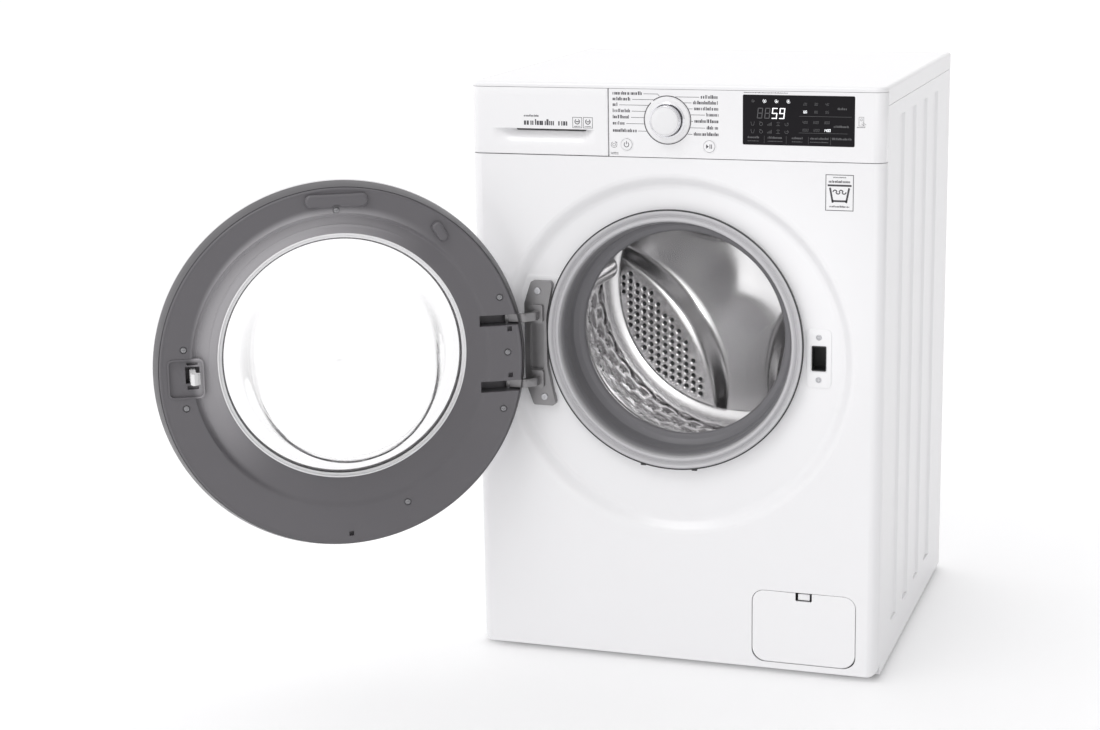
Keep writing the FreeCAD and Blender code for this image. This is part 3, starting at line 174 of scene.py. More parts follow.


class Finish:
    """A Principled material with procedural variation added step by step, in object space."""

    def __init__(self, name, color, roughness, metallic=0.0, **sockets):
        self.material = bpy.data.materials.new(name)
        self.material.use_nodes = True
        self.tree = self.material.node_tree
        self.shader = self.tree.nodes["Principled BSDF"]
        self.color = color
        self.roughness = roughness
        self.set("Base Color", (*color, 1))
        self.set("Roughness", roughness)
        self.set("Metallic", metallic)
        for key, value in sockets.items():
            self.set(key.replace("_", " "), value)
        self.place = self.node("ShaderNodeTexCoord", {}).outputs["Object"]
        self.normal = None

    def node(self, kind, inputs, **values):
        """A node with its settings, and its inputs set to plain values or linked to other nodes' outputs."""
        made = self.tree.nodes.new(kind)
        for key, value in values.items():
            setattr(made, key, value)
        for key, value in inputs.items():
            if isinstance(value, bpy.types.NodeSocket):
                self.tree.links.new(value, made.inputs[key])
            else:
                made.inputs[key].default_value = value
        return made

    def set(self, socket, value):
        self.shader.inputs[socket].default_value = value

    def drive(self, socket, output):
        self.tree.links.new(output, self.shader.inputs[socket])

    def vector(self, operation, first, second=(0, 0, 0)):
        """The outcome of a vector operation on one or two vectors."""
        made = self.node("ShaderNodeVectorMath", {0: first, 1: second}, operation=operation)
        return made.outputs["Value" if operation in ("LENGTH", "DOT_PRODUCT") else "Vector"]

    def remap(self, value, low, high, target=(0.0, 1.0), kind="SMOOTHSTEP"):
        """A value carried from the range low to high over to the target range."""
        made = self.node("ShaderNodeMapRange", {"Value": value, "From Min": low, "From Max": high,
                                                "To Min": target[0], "To Max": target[1]},
                                                interpolation_type=kind)
        return made.outputs["Result"]

    def turned_grain(self):
        """Coordinates whose noise runs in rings round the drum's axis."""
        flat = self.vector("MULTIPLY", self.vector("SUBTRACT", self.place, (0, 0, DRUM_Z * MM)), (1, 0, 1))
        radius = self.vector("LENGTH", flat)
        slow = self.vector("MULTIPLY", self.vector("NORMALIZE", flat), (0.012, 0.012, 0.012))
        rings = self.node("ShaderNodeCombineXYZ", {"X": radius, "Y": radius})
        return self.vector("ADD", rings.outputs[0], slow)

    def noise(self, scale, place=None):
        inputs = {"Scale": scale, "Detail": 3.0, "Vector": place or self.place}
        return self.node("ShaderNodeTexNoise", inputs).outputs["Fac"]

    def blend_colors(self, low, high, share):
        """Base colour between two colours."""
        mix = self.node("ShaderNodeMix", {}, data_type="RGBA")
        mix.inputs["A"].default_value = (*low, 1)
        mix.inputs["B"].default_value = (*high, 1)
        self.tree.links.new(share, mix.inputs["Factor"])
        self.drive("Base Color", mix.outputs["Result"])
        return self

    def mottle(self, scale, amount, place=None):
        """Colour that drifts by a share of itself."""
        low = [c * (1 - amount) for c in self.color]
        high = [min(1, c * (1 + amount)) for c in self.color]
        return self.blend_colors(low, high, self.noise(scale, place))

    def vary_gloss(self, scale, amount, place=None):
        """Roughness that drifts by an amount."""
        target = (max(0.0, self.roughness - amount), self.roughness + amount)
        self.drive("Roughness", self.remap(self.noise(scale, place), 0.3, 0.7, target, "LINEAR"))
        return self

    def relief(self, height, strength, distance):
        """Bump from a height; calls add up."""
        inputs = {"Strength": strength, "Distance": distance, "Height": height}
        if self.normal:
            inputs["Normal"] = self.normal
        self.normal = self.node("ShaderNodeBump", inputs).outputs["Normal"]
        self.drive("Normal", self.normal)
        return self

    def grain(self, scale, strength, distance=0.0002, place=None):
        return self.relief(self.noise(scale, place), strength, distance)

    def leather_cells(self, scale):
        """The height of a moulded spark-eroded texture."""
        inputs = {"Scale": scale, "Vector": self.place}
        return self.node("ShaderNodeTexVoronoi", inputs, feature="SMOOTH_F1").outputs["Distance"]


def enamel(name, color):
    """Baked enamel on sheet steel, with a faint orange peel."""
    paint = Finish(name, color, 0.34, Coat_Weight=0.25, Coat_Roughness=0.12)
    return paint.mottle(2.2, 0.006).vary_gloss(9, 0.015).grain(240, 0.05, 0.00006).grain(1500, 0.04, 0.00003)


def moulded(name, color, roughness, scale=1300, strength=0.12):
    """Injection moulded plastic with a fine eroded texture."""
    plastic = Finish(name, color, roughness)
    plastic.mottle(14, 0.03).vary_gloss(40, 0.04)
    return plastic.relief(plastic.leather_cells(scale), strength, 0.00008)


def door_face_painted_light_plastic(name, color, painted_light_color):
    """The door moulding's plastic, with painted light: paler in the sloping band round the glass at the upper
    left.
    """
    plastic = Finish(name, color, 0.42)
    # Painted light: the sloping band round the glass is paler towards the upper left, where the light falls
    # on it.
    from_centre = plastic.vector("SUBTRACT", plastic.place, DOOR_TURN @ Vector((0, FACE_Y, GLASS_Z)) * MM)
    near = plastic.remap(plastic.vector("LENGTH", from_centre), (GLASS_R + 40) * MM, (GLASS_R + 28) * MM)
    painted_light_toward = DOOR_TURN.to_3x3() @ Vector((math.sin(DEEPEST_AND_PAINTED_LIGHT_SIDE), 0, math.cos(DEEPEST_AND_PAINTED_LIGHT_SIDE)))
    upper = plastic.remap(plastic.vector("DOT_PRODUCT", from_centre, painted_light_toward), -0.03, 0.17)
    share = plastic.node("ShaderNodeMath", {0: near, 1: upper}, operation="MULTIPLY")
    plastic.blend_colors(color, painted_light_color, share.outputs[0]).vary_gloss(40, 0.03)
    return plastic.relief(plastic.leather_cells(1500), 0.10, 0.00008)


def polished_plastic(name, color, roughness=0.22):
    """Smooth glossy plastic or lacquer."""
    plastic = Finish(name, color, roughness, Coat_Weight=0.3, Coat_Roughness=0.05)
    return plastic.mottle(3.0, 0.006).vary_gloss(25, 0.006).grain(420, 0.02, 0.00003)


def steel(name, color, roughness, ringed=False, amount=0.05):
    """Rolled or turned stainless steel, its grain along Y or in rings."""
    metal = Finish(name, color, roughness, 1.0)
    place = metal.turned_grain() if ringed else metal.vector("MULTIPLY", metal.place, (1.0, 0.04, 1.0))
    return metal.mottle(900, 0.03, place).vary_gloss(700, amount, place).grain(1400, 0.02, 0.00002, place)


def embossed_steel(name, color, roughness, pitch):
    """Drum wall sheet pressed all over with small pearls."""
    metal = Finish(name, color, roughness, 1.0)
    axes = metal.node("ShaderNodeSeparateXYZ", {0: metal.vector("SUBTRACT", metal.place,
                                                                (0, 0, DRUM_Z * MM))})
    angle = metal.node("ShaderNodeMath", {0: axes.outputs["X"], 1: axes.outputs["Z"]}, operation="ARCTAN2")
    around = metal.node("ShaderNodeMath", {0: angle.outputs[0], 1: DRUM_R * MM}, operation="MULTIPLY")
    flat = metal.node("ShaderNodeCombineXYZ", {"X": around.outputs[0], "Y": axes.outputs["Y"]})
    cells = metal.node("ShaderNodeTexVoronoi", {}, voronoi_dimensions="2D")
    cells.inputs["Scale"].default_value = 1 / (pitch * MM)
    cells.inputs["Randomness"].default_value = 0.3
    metal.tree.links.new(flat.outputs[0], cells.inputs["Vector"])
    metal.mottle(300, 0.06).vary_gloss(500, 0.05)
    return metal.relief(metal.remap(cells.outputs["Distance"], 0.08, 0.46, (1.0, 0.0)), 0.35, 0.0006)


def galvanised(name, color):
    """Zinc coated sheet with its spangle."""
    zinc = Finish(name, color, 0.42, 0.9)
    cells = zinc.node("ShaderNodeTexVoronoi", {"Scale": 120, "Vector": zinc.place})
    grey = zinc.node("ShaderNodeSeparateColor", {"Color": cells.outputs["Color"]})
    zinc.blend_colors([c * 0.82 for c in color], [min(1, c * 1.12) for c in color], grey.outputs[0])
    return zinc.vary_gloss(90, 0.08).grain(700, 0.06)


def cast_metal(name, color, roughness):
    """Die cast zinc with a slightly uneven skin."""
    metal = Finish(name, color, roughness, 0.85)
    return metal.mottle(60, 0.08).vary_gloss(120, 0.05).grain(900, 0.10, 0.00005).grain(180, 0.05, 0.0001)


def seal_rubber_painted_shade(name, front, painted_shade_color):
    """Grey seal rubber with painted shade, darker inside the bellows than on the front lip."""
    soft = Finish(name, front, 0.42, Sheen_Weight=0.15, Sheen_Roughness=0.5)
    axes = soft.node("ShaderNodeSeparateXYZ", {0: soft.place})
    # Painted shade: the rubber darkens from the front lip back into the bellows, where shade falls.
    soft.blend_colors(front, painted_shade_color, soft.remap(axes.outputs["Y"], -0.279, -0.262))
    return soft.vary_gloss(50, 0.06).grain(1100, 0.10, 0.00008)


def rubber(name, color, roughness):
    """Plain moulded rubber."""
    soft = Finish(name, color, roughness, Sheen_Weight=0.15, Sheen_Roughness=0.5)
    return soft.mottle(18, 0.04).vary_gloss(50, 0.06).grain(1100, 0.10, 0.00008)


def clear_glass(name, tint):
    """Clear glass with a faint ripple."""
    glass = Finish(name, tint, 0.0, Transmission_Weight=1.0, IOR=1.45, Specular_IOR_Level=0.15)
    return glass.grain(14, 0.02, 0.0002)


def ink(name, color, glow=0.0):
    """Screen printed or lit marks."""
    marks = Finish(name, color, 0.5)
    marks.mottle(300, 0.05)
    if glow:
        marks.set("Emission Color", (*color, 1))
        marks.set("Emission Strength", glow)
    return marks


def make_materials():
    """Every finish by its short name."""
    made = {
        "enamel": enamel("white_enamel", (0.84, 0.838, 0.849)),
        "gloss": polished_plastic("white_gloss", (0.85, 0.848, 0.858)),
        "top": polished_plastic("worktop_white", (0.83, 0.828, 0.838), 0.34),
        "galvanised": galvanised("galvanised_steel", (0.60, 0.61, 0.62)),
        "screw": steel("zinc_screws", (0.52, 0.52, 0.54), 0.34),
        "shaft": steel("ground_steel", (0.66, 0.66, 0.68), 0.22, ringed=True),
        "drum": steel("stainless_drum", (0.88, 0.875, 0.88), 0.25, ringed=True, amount=0.015),
        "dark_screw": steel("dark_screws", (0.30, 0.30, 0.31), 0.3),
        "wall": embossed_steel("stainless_wall", (0.72, 0.71, 0.72), 0.20, 14.0),
        "lifter": steel("lifter_steel", (0.74, 0.73, 0.74), 0.20),
        "cast": cast_metal("die_cast", (0.27, 0.265, 0.27), 0.34),
        "door_grey": moulded("door_grey", (0.145, 0.138, 0.150), 0.46, 1500, 0.10),
        # door_face: painted light, paler in the band round the glass at the upper left
        "door_face": door_face_painted_light_plastic("door_face_grey_painted_light", (0.122, 0.117, 0.126), (0.36, 0.35, 0.365)),
        "rim": moulded("door_rim_grey", (0.075, 0.072, 0.078), 0.34, 1500, 0.05),
        "glass": clear_glass("door_bowl_glass", (0.995, 0.995, 0.995)),
        "window": clear_glass("clear_cover", (0.995, 0.995, 0.995)),
        # gasket: painted shade, darker inside the bellows than on the front lip
        "gasket": seal_rubber_painted_shade("gasket_grey", (0.50, 0.495, 0.51), (0.16, 0.157, 0.168)),
        "rubber": rubber("black_rubber", (0.035, 0.035, 0.037), 0.6),
        "display": Finish("display_black", (0.010, 0.009, 0.011), 0.3,
                          Specular_IOR_Level=0.12).mottle(40, 0.1).grain(500, 0.02),
        "chrome": steel("silver_trim", (0.80, 0.80, 0.82), 0.14, ringed=True),
        "knob": polished_plastic("knob_white", (0.80, 0.80, 0.81), 0.30),
        "tub": moulded("tub_plastic", (0.46, 0.47, 0.48), 0.55, 700, 0.2),
        "weights": Finish("cast_weights", (0.32, 0.32, 0.32), 0.8).mottle(45, 0.15).grain(160, 0.6, 0.0008),
        "tray": moulded("tray_plastic", (0.72, 0.74, 0.77), 0.42, 900, 0.06),
        "blue": moulded("insert_blue", (0.16, 0.33, 0.62), 0.42),
        "black": moulded("black_plastic", (0.028, 0.028, 0.030), 0.48),
        "hook": moulded("hook_plastic", (0.80, 0.80, 0.80), 0.4),
        "pump": moulded("pump_plastic", (0.34, 0.35, 0.36), 0.5),
        "laminations": steel("motor_laminations", (0.42, 0.33, 0.26), 0.5),
        "rotor": Finish("rotor_steel", (0.42, 0.42, 0.44), 0.45, 0.7).mottle(30, 0.06).grain(500, 0.1),
        "ink": ink("console_ink", (0.055, 0.052, 0.06)),
        "lit": ink("display_lit", (0.95, 0.97, 1.0), 0.9),
        "dim": ink("display_dim", (0.10, 0.10, 0.105), 0.12),
    }
    return {key: value.material for key, value in made.items()}


NODE_MATERIALS = {
    "enamel": ("side_panel_left", "side_panel_right", "rear_wall", "front_panel"),
    "top": ("worktop",),
    "gloss": ("control_panel", "service_flap", "door_cover", "power_button", "start_button", "dial_ring"),
    "galvanised": ("base_pan", "rear_cover", "cabinet_brackets", "suspension_springs", "gasket_clamp",
                   "damper_rods"),
    "screw": ("cabinet_fasteners", "door_screws"),
    "shaft": ("door_pins", "drum_shaft", "tub_bearings", "heater"),
    "drum": ("drum_front",),
    "cast": ("hinge_bracket", "drum_spider"),
    "door_grey": ("glass_clamp_ring",),
    "window": ("door_window",),
    "rubber": ("dispenser_hose", "sump_hose", "foot_front_left", "foot_front_right", "foot_rear_left",
               "foot_rear_right"),
    "display": ("display_window",),
    "tub": ("tub_front", "tub_rear"),
    "weights": ("counterweights",),
    "tray": ("drawer_tray", "dispenser_housing"),
    "blue": ("siphon_insert",),
    "black": ("door_lock", "control_boards", "inlet_valve", "rear_grommets", "damper_cylinders"),
    "hook": ("door_hook",),
    "pump": ("drain_pump", "pump_filter", "drain_pipe"),
    "laminations": ("stator",),
    "rotor": ("rotor",),
}


def dress_nodes():
    """Every CAD node that stays gets its procedural material."""
    for key, names in NODE_MATERIALS.items():
        for name in names:
            mesh = frame["nodes"][name].data
            mesh.materials.clear()
            mesh.materials.append(MATERIAL[key])


# ---------------------------------------------------------------- mesh helpers

def in_metres(place):
    """A placement given in millimetres, for a mesh in metres."""
    return Matrix.Scale(MM, 4) @ place @ Matrix.Scale(1 / MM, 4)


def new_object(name, vertices, faces, smooth=True, place=None):
    """A mesh object from millimetre vertices."""
    mesh = bpy.data.meshes.new(name)
    mesh.from_pydata([Vector(v) * MM for v in vertices], [], faces)
    made = bpy.data.objects.new(name, mesh)
    bpy.context.scene.collection.objects.link(made)
    tidy = bmesh.new()
    tidy.from_mesh(mesh)
    if place is not None:
        bmesh.ops.transform(tidy, matrix=in_metres(place), verts=tidy.verts)
    bmesh.ops.recalc_face_normals(tidy, faces=tidy.faces)
    tidy.to_mesh(mesh)
    tidy.free()
    for face in mesh.polygons:
        face.use_smooth = smooth
    return made


def finish_piece(piece, material, body, replaced=(), sharp=35):
    """Paints a piece, marks its hard edges and rides it on its body."""
    piece.data.materials.clear()
    piece.data.materials.append(MATERIAL[material])
    if sharp:
        piece.data.set_sharp_from_angle(angle=math.radians(sharp))
    if body:
        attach(piece, body)
    if replaced:
        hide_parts(*replaced)
    return piece


def applied(piece):
    """The piece with its modifiers made real."""
    bpy.context.view_layer.update()
    graph = bpy.context.evaluated_depsgraph_get()
    mesh = bpy.data.meshes.new_from_object(piece.evaluated_get(graph))
    piece.modifiers.clear()
    old = piece.data
    piece.data = mesh
    bpy.data.meshes.remove(old)
    return piece


def thicken(piece, thickness, offset=-1.0):
    """A sheet made solid, behind its face unless the offset says otherwise."""
    shell = piece.modifiers.new("thickness", "SOLIDIFY")
    shell.thickness = thickness * MM
    shell.offset = offset
    shell.use_even_offset = True
    return applied(piece)


def rounded_edges(piece, width, segments=2, angle=40):
    """Rounds every edge sharper than an angle."""
    bevel = piece.modifiers.new("edges", "BEVEL")
    bevel.width = width * MM
    bevel.segments = segments
    bevel.limit_method = "ANGLE"
    bevel.angle_limit = math.radians(angle)
    bevel.use_clamp_overlap = True
    return applied(piece)


def carve(piece, others, operation="DIFFERENCE"):
    """Cuts other closed meshes out of a piece, or adds them, and removes them."""
    for other in others:
        cut = piece.modifiers.new("carve", "BOOLEAN")
        cut.operation = operation
        cut.solver = "EXACT"
        cut.object = other
    applied(piece)
    for other in others:
        mesh = other.data
        bpy.data.objects.remove(other)
        bpy.data.meshes.remove(mesh)
    return piece


def rounded(points, radii, steps=5):
    """A closed 2-D outline through points, each corner rounded by its radius."""
    if not isinstance(radii, (list, tuple)):
        radii = [radii] * len(points)
    result = []
    for i, (point, radius) in enumerate(zip(points, radii)):
        corner = Vector(point)
        back = (Vector(points[i - 1]) - corner)
        forth = (Vector(points[(i + 1) % len(points)]) - corner)
        half = back.angle(forth) / 2
        if radius <= 0 or half > math.pi / 2 - 0.01:
            result.append(tuple(corner))
            continue
        back.normalize()
        forth.normalize()
        reach = radius / math.tan(half)
        bisector = (back + forth).normalized()
        centre = corner + bisector * (radius / math.sin(half))
        start = corner + back * reach - centre
        turn = start.angle_signed(corner + forth * reach - centre)
        for step in range(steps + 1):
            a = -turn * step / steps
            result.append((centre.x + start.x * math.cos(a) - start.y * math.sin(a),
                           centre.y + start.x * math.sin(a) + start.y * math.cos(a)))
    return result


def lathe(name, profile, x, z, segments=160, place=None):
    """A closed ring: the outline of (radius, y) points turned round the Y axis at (x, z)."""
    vertices = []
    faces = []
    count = len(profile)
    for i in range(segments):
        a = 2 * math.pi * i / segments
        vertices += [(x + r * math.sin(a), y, z + r * math.cos(a)) for r, y in profile]
        following = (i + 1) % segments
        for j in range(count):
            k = (j + 1) % count
            faces.append((i * count + j, i * count + k, following * count + k, following * count + j))
    return new_object(name, vertices, faces, place=place)


def disc(name, profile, x, z, segments):
    """A turned solid whose (radius, y) profile starts and ends on the axis."""
    inner = profile[1:-1]
    vertices = [(x, profile[0][1], z), (x, profile[-1][1], z)]
    faces = []
    count = len(inner)
    for i in range(segments):
        a = 2 * math.pi * i / segments
        vertices += [(x + r * math.sin(a), y, z + r * math.cos(a)) for r, y in inner]
        here = 2 + i * count
        there = 2 + (i + 1) % segments * count
        faces += [(here + j, here + j + 1, there + j + 1, there + j) for j in range(count - 1)]
        faces += [(0, here, there), (1, there + count - 1, here + count - 1)]
    return new_object(name, vertices, faces)


def plates(name, outlines, y, place=None, smooth=False):
    """Flat closed plates in one object: each outline of (x, z) points between the two y values."""
    vertices = []
    faces = []
    for points in outlines:
        count = len(points)
        start = len(vertices)
        vertices += [(px, y[0], pz) for px, pz in points]
        vertices += [(px, y[1], pz) for px, pz in points]
        faces.append(tuple(range(start, start + count)))
        faces.append(tuple(range(start + 2 * count - 1, start + count - 1, -1)))
        for i in range(count):
            k = (i + 1) % count
            faces.append((start + i, start + k, start + count + k, start + count + i))
    return new_object(name, vertices, faces, smooth=smooth, place=place)


def bar(x, z, radius=0.0, steps=3):
    """A rectangle between the x and z pairs, with rounded corners."""
    points = [(x[0], z[0]), (x[1], z[0]), (x[1], z[1]), (x[0], z[1])]
    return rounded(points, radius, steps) if radius else points


def line(a, b, width):
    """A straight stroke as an outline."""
    start = Vector(a)
    end = Vector(b)
    along = (end - start).normalized() * (width / 2)
    side = Vector((-along.y, along.x))
    return [tuple(start - along - side), tuple(end + along - side), tuple(end + along + side),
            tuple(start - along + side)]


def arc(x, z, radius, width, start, end, steps=24):
    """Part of a flat ring, clockwise from the top in degrees."""
    angles = [math.radians(start + (end - start) * i / steps) for i in range(steps + 1)]
    outer = [(x + (radius + width / 2) * math.sin(a), z + (radius + width / 2) * math.cos(a)) for a in angles]
    inner = [(x + (radius - width / 2) * math.sin(a), z + (radius - width / 2) * math.cos(a)) for a in angles]
    return outer + inner[::-1]


def block(x, y, z):
    """A closed box, for cutting."""
    return plates("cut", [bar(x, z)], y)


def peg(x, z, radius, y):
    """A closed cylinder along Y, for cutting."""
    angles = [2 * math.pi * i / 32 for i in range(32)]
    return plates("cut", [[(x + radius * math.sin(a), z + radius * math.cos(a)) for a in angles]], y)


def smoothstep(t):
    """From 0 to 1 with a level start and end."""
    t = max(0.0, min(1.0, t))
    return t * t * (3 - 2 * t)


def ring_points(x, y, radius, count, start=0.0):
    """Points evenly spaced on a circle."""
    return [(x + radius * math.cos(start + 2 * math.pi * i / count),
             y + radius * math.sin(start + 2 * math.pi * i / count)) for i in range(count)]


def pierced_sheet(points, holes, inside):
    """A flat triangle mesh through 2-D points with round holes.

    holes are (x, y, radius, collar radius, count). Returns vertices, triangles and each vertex's hole number,
    negative where it is on no hole's edge. Triangles whose centre isn't inside are dropped."""
    coords = [Vector(p) for p in points]
    owner = [-1] * len(coords)
    edges = []
    for number, (x, y, radius, collar, count) in enumerate(holes):
        first = len(coords)
        coords += [Vector(p) for p in ring_points(x, y, radius, count)]
        owner += [number] * count
        edges += [(first + i, first + (i + 1) % count) for i in range(count)]
        if collar:
            coords += [Vector(p) for p in ring_points(x, y, collar, count, math.pi / count)]
            owner += [-1] * count
    out, _, triangles, origin, _, _ = delaunay_2d_cdt(coords, edges, [], 0, 1e-5)
    owners = [max([owner[i] for i in source] or [-1]) for source in origin]
    cells = {}
    for number, (x, y, radius, _, _) in enumerate(holes):
        cells.setdefault((round(x / 8), round(y / 8)), []).append((x, y, radius))

    def in_hole(centre):
        column = round(centre.x / 8)
        row = round(centre.y / 8)
        for i in (-1, 0, 1):
            for j in (-1, 0, 1):
                for x, y, radius in cells.get((column + i, row + j), ()):
                    if math.hypot(centre.x - x, centre.y - y) < radius * 0.97:
                        return True
        return False

    kept = []
    for face in triangles:
        centre = (out[face[0]] + out[face[1]] + out[face[2]]) / 3
        if inside(centre) and not in_hole(centre):
            kept.append(tuple(face))
    return out, kept, owners


# ---------------------------------------------------------------- drum

STAR = [math.radians(a) for a in (237.0, 357.0, 117.0)]
PLATEAU_Y = 115.0
VALLEY_Y = 134.3
PLATEAU_R = 201.0
BAND_R = (204.0, 231.5)
TOP_ARC = (460.0, 349.0)
FOOT_ARC = (298.0, 228.0)
BACK_EDGE_R = DRUM_R - 0.4


def back_depth(x, z):
    """The drum back's y at (x, z) from the axis: three perforated plateaus round a star shaped valley."""
    r = math.hypot(x, z)
    y = VALLEY_Y
    for angle in STAR:
        ux, uz = math.sin(angle), math.cos(angle)
        top = TOP_ARC[1] - math.hypot(x - TOP_ARC[0] * ux, z - TOP_ARC[0] * uz)
        foot = FOOT_ARC[1] - math.hypot(x - FOOT_ARC[0] * ux, z - FOOT_ARC[0] * uz)
        if foot > 0:
            share = 1.0 if top > 0 else foot / (foot - top)
            y -= (VALLEY_Y - PLATEAU_Y) * min(ramp(share), smoothstep((PLATEAU_R + 4 - r) / 6))
        y -= 2.0 * (1 + math.cos(3 * (math.atan2(x, z) - angle))) / 3 * smoothstep(r / 90)
    y -= 10.0 * math.exp(-(r / 46) ** 2)
    if r > BAND_R[0]:
        across = min(1.0, (r - BAND_R[0]) / (BAND_R[1] - BAND_R[0]))
        y -= 7.0 * (1 - (1 - across) ** 1.7)
    return y + 6.0 * smoothstep((r - BAND_R[1]) / 3.0)


def ramp(share):
    """A straight slope with a short curve at its foot and head."""
    ease = 0.3
    share = max(0.0, min(1.0, share))
    if share < ease:
        low = share * share / (2 * ease)
    elif share > 1 - ease:
        low = 1 - ease - (1 - share) ** 2 / (2 * ease)
    else:
        low = share - ease / 2
    return low / (1 - ease)


def crescent_holes():
    """Hole centres on the three plateaus, in staggered columns."""
    pitch_x = 11.6
    pitch_z = 12.0
    ux, uz = math.sin(STAR[0]), math.cos(STAR[0])
    holes = []
    for angle in STAR:
        turn = angle - STAR[0]
        for column in range(20):
            for row in range(-20, 8):
                x = -193 + column * pitch_x
                z = 12 + row * pitch_z + (column % 2) * pitch_z / 2
                margin = TOP_ARC[1] - math.hypot(x - TOP_ARC[0] * ux, z - TOP_ARC[0] * uz)
                if math.hypot(x, z) < PLATEAU_R - 7 and margin > 10.5:
                    holes.append((x * math.cos(turn) + z * math.sin(turn),
                                  z * math.cos(turn) - x * math.sin(turn), 3.1, 4.5, 12))
    return holes


def drum_back():
    """The drum's back: the star shaped valley and the three plateaus with their holes."""
    holes = crescent_holes()
    spacing = 4.0
    points = []
    rows = int(196 / (spacing * 0.866))
    for row in range(-rows, rows + 1):
        for column in range(-50, 51):
            x = (column + 0.5 * (row % 2)) * spacing
            z = row * spacing * 0.866
            near = any(math.hypot(x - h[0], z - h[1]) < 6.0 for h in holes)
            if math.hypot(x, z) < 194 and not near:
                points.append((x, z))
    segments = 264
    for r in [196 + 2.0 * i for i in range(20)] + [BACK_EDGE_R]:
        points += ring_points(0, 0, r, segments)
    flat, faces, owners = pierced_sheet(points, holes, lambda c: c.length < BACK_EDGE_R)
    vertices = [(p.x, back_depth(p.x, p.y) + (1.0 if owner >= 0 else 0.0), p.y + DRUM_Z)
                for p, owner in zip(flat, owners)]
    back = new_object("drum_back_star", vertices, faces)
    face_forward(back)
    thicken(back, 1.2)
    finish_piece(back, "drum", "drum", ["drum_back"], sharp=55)


def face_forward(piece):
    """Turns an open sheet's normals to the front, so that it thickens to the rear."""
    if sum(face.normal.y * face.area for face in piece.data.polygons) > 0:
        piece.data.flip_normals()


WALL_PANELS = 30


def drum_wall():
    """The drum's wall: smooth pillows between bands of small holes."""
    width = 2 * math.pi * DRUM_R / WALL_PANELS
    low = SHELL[1][0] + 8
    high = SHELL[1][1] - 2
    pitch_v = 50.0
    pillows = [(u, low + 14 + pitch_v * (k + shift)) for u, shift in ((0, 0), (width, 0), (width / 2, 0.5))
               for k in range(-1, 8)]

    def pillow(u, v):
        return min(math.hypot(u - pu, (v - pv) / 1.12) for pu, pv in pillows)

    holes = []
    pitch_u = width / 6
    rows = int((high - low) / 8.0)
    for row in range(1, rows):
        for column in range(6):
            u = (column + 0.25 + 0.5 * (row % 2)) * pitch_u
            v = low + row * 8.0
            if pillow(u, v) > 18.5 and v < high - 5:
                holes.append((u, v, 1.9, 0, 8))
    points = []
    step_v = (high - low) / round((high - low) / 5.2)
    for i in range(10):
        for j in range(round((high - low) / step_v) + 1):
            edge = i in (0, 9)
            u = width * i / 9
            v = low + j * step_v
            if edge or not any(math.hypot(u - h[0], v - h[1]) < 2.9 for h in holes):
                points.append((u, v))
    flat, faces, owners = pierced_sheet(points, holes, lambda c: True)
    vertices = []
    triangles = []
    for panel in range(WALL_PANELS):
        first = len(vertices)
        for p, owner in zip(flat, owners):
            lift = 1.8 * smoothstep((19.5 - pillow(p.x, p.y)) / 14)
            r = DRUM_R - lift + (0.7 if owner >= 0 else 0)
            a = (panel * width + p.x) / DRUM_R
            vertices.append((r * math.sin(a), p.y, DRUM_Z + r * math.cos(a)))
        triangles += [tuple(first + i for i in face) for face in faces]
    wall = new_object("drum_wall", vertices, triangles)
    weld(wall, 0.02)
    thicken(wall, 1.0, 1.0)
    finish_piece(wall, "wall", "drum", ["drum_shell"], sharp=50)


def weld(piece, distance):
    """Joins vertices that lie closer than a distance."""
    mesh = bmesh.new()
    mesh.from_mesh(piece.data)
    bmesh.ops.remove_doubles(mesh, verts=mesh.verts, dist=distance * MM)
    bmesh.ops.recalc_face_normals(mesh, faces=mesh.faces)
    mesh.to_mesh(piece.data)
    mesh.free()


def drum_lifters():
    """Three hollow pressed lifters with rounded ends and a crowned tip."""
    box = span("drum_lifters")
    low, high = box[1]
    tip = DRUM_R - 46
    base_half = 33.0
    across = 28
    along = 44
    for number in range(3):
        turn = math.radians(40 + 120 * number)
        vertices = []
        faces = []
        for j in range(along + 1):
            t = j / along
            v = low + (high - low) * (0.5 - 0.5 * math.cos(math.pi * t))
            ends = min(v - low, high - v)
            rise = smoothstep(min(1.0, (ends + 0.001) / 46) ** 0.6)
            for i in range(across + 1):
                s = -1 + 2 * i / across
                half = base_half * (0.45 + 0.55 * rise)
                height = (DRUM_R - tip) * rise * (1 - abs(s) ** 2.4) ** 1.15
                side = s * half
                r = math.sqrt(DRUM_R ** 2 - side ** 2) - 0.1 - height
                vertices.append((side, v, r))
        for j in range(along):
            for i in range(across):
                a = j * (across + 1) + i
                faces.append((a, a + 1, a + across + 2, a + across + 1))
        cos, sin = math.cos(turn), math.sin(turn)
        placed = [(x * cos + z * sin, y, DRUM_Z + z * cos - x * sin) for x, y, z in vertices]
        lifter = new_object(f"drum_lifter_{number + 1}", placed, faces)
        inward = Vector((-sin, 0, -cos))
        if sum(face.normal.dot(inward) * face.area for face in lifter.data.polygons) < 0:
            lifter.data.flip_normals()
        thicken(lifter, 1.0)
        finish_piece(lifter, "lifter", "drum", ["drum_lifters"] if number == 0 else (),
                     sharp=60)


# ---------------------------------------------------------------- gasket

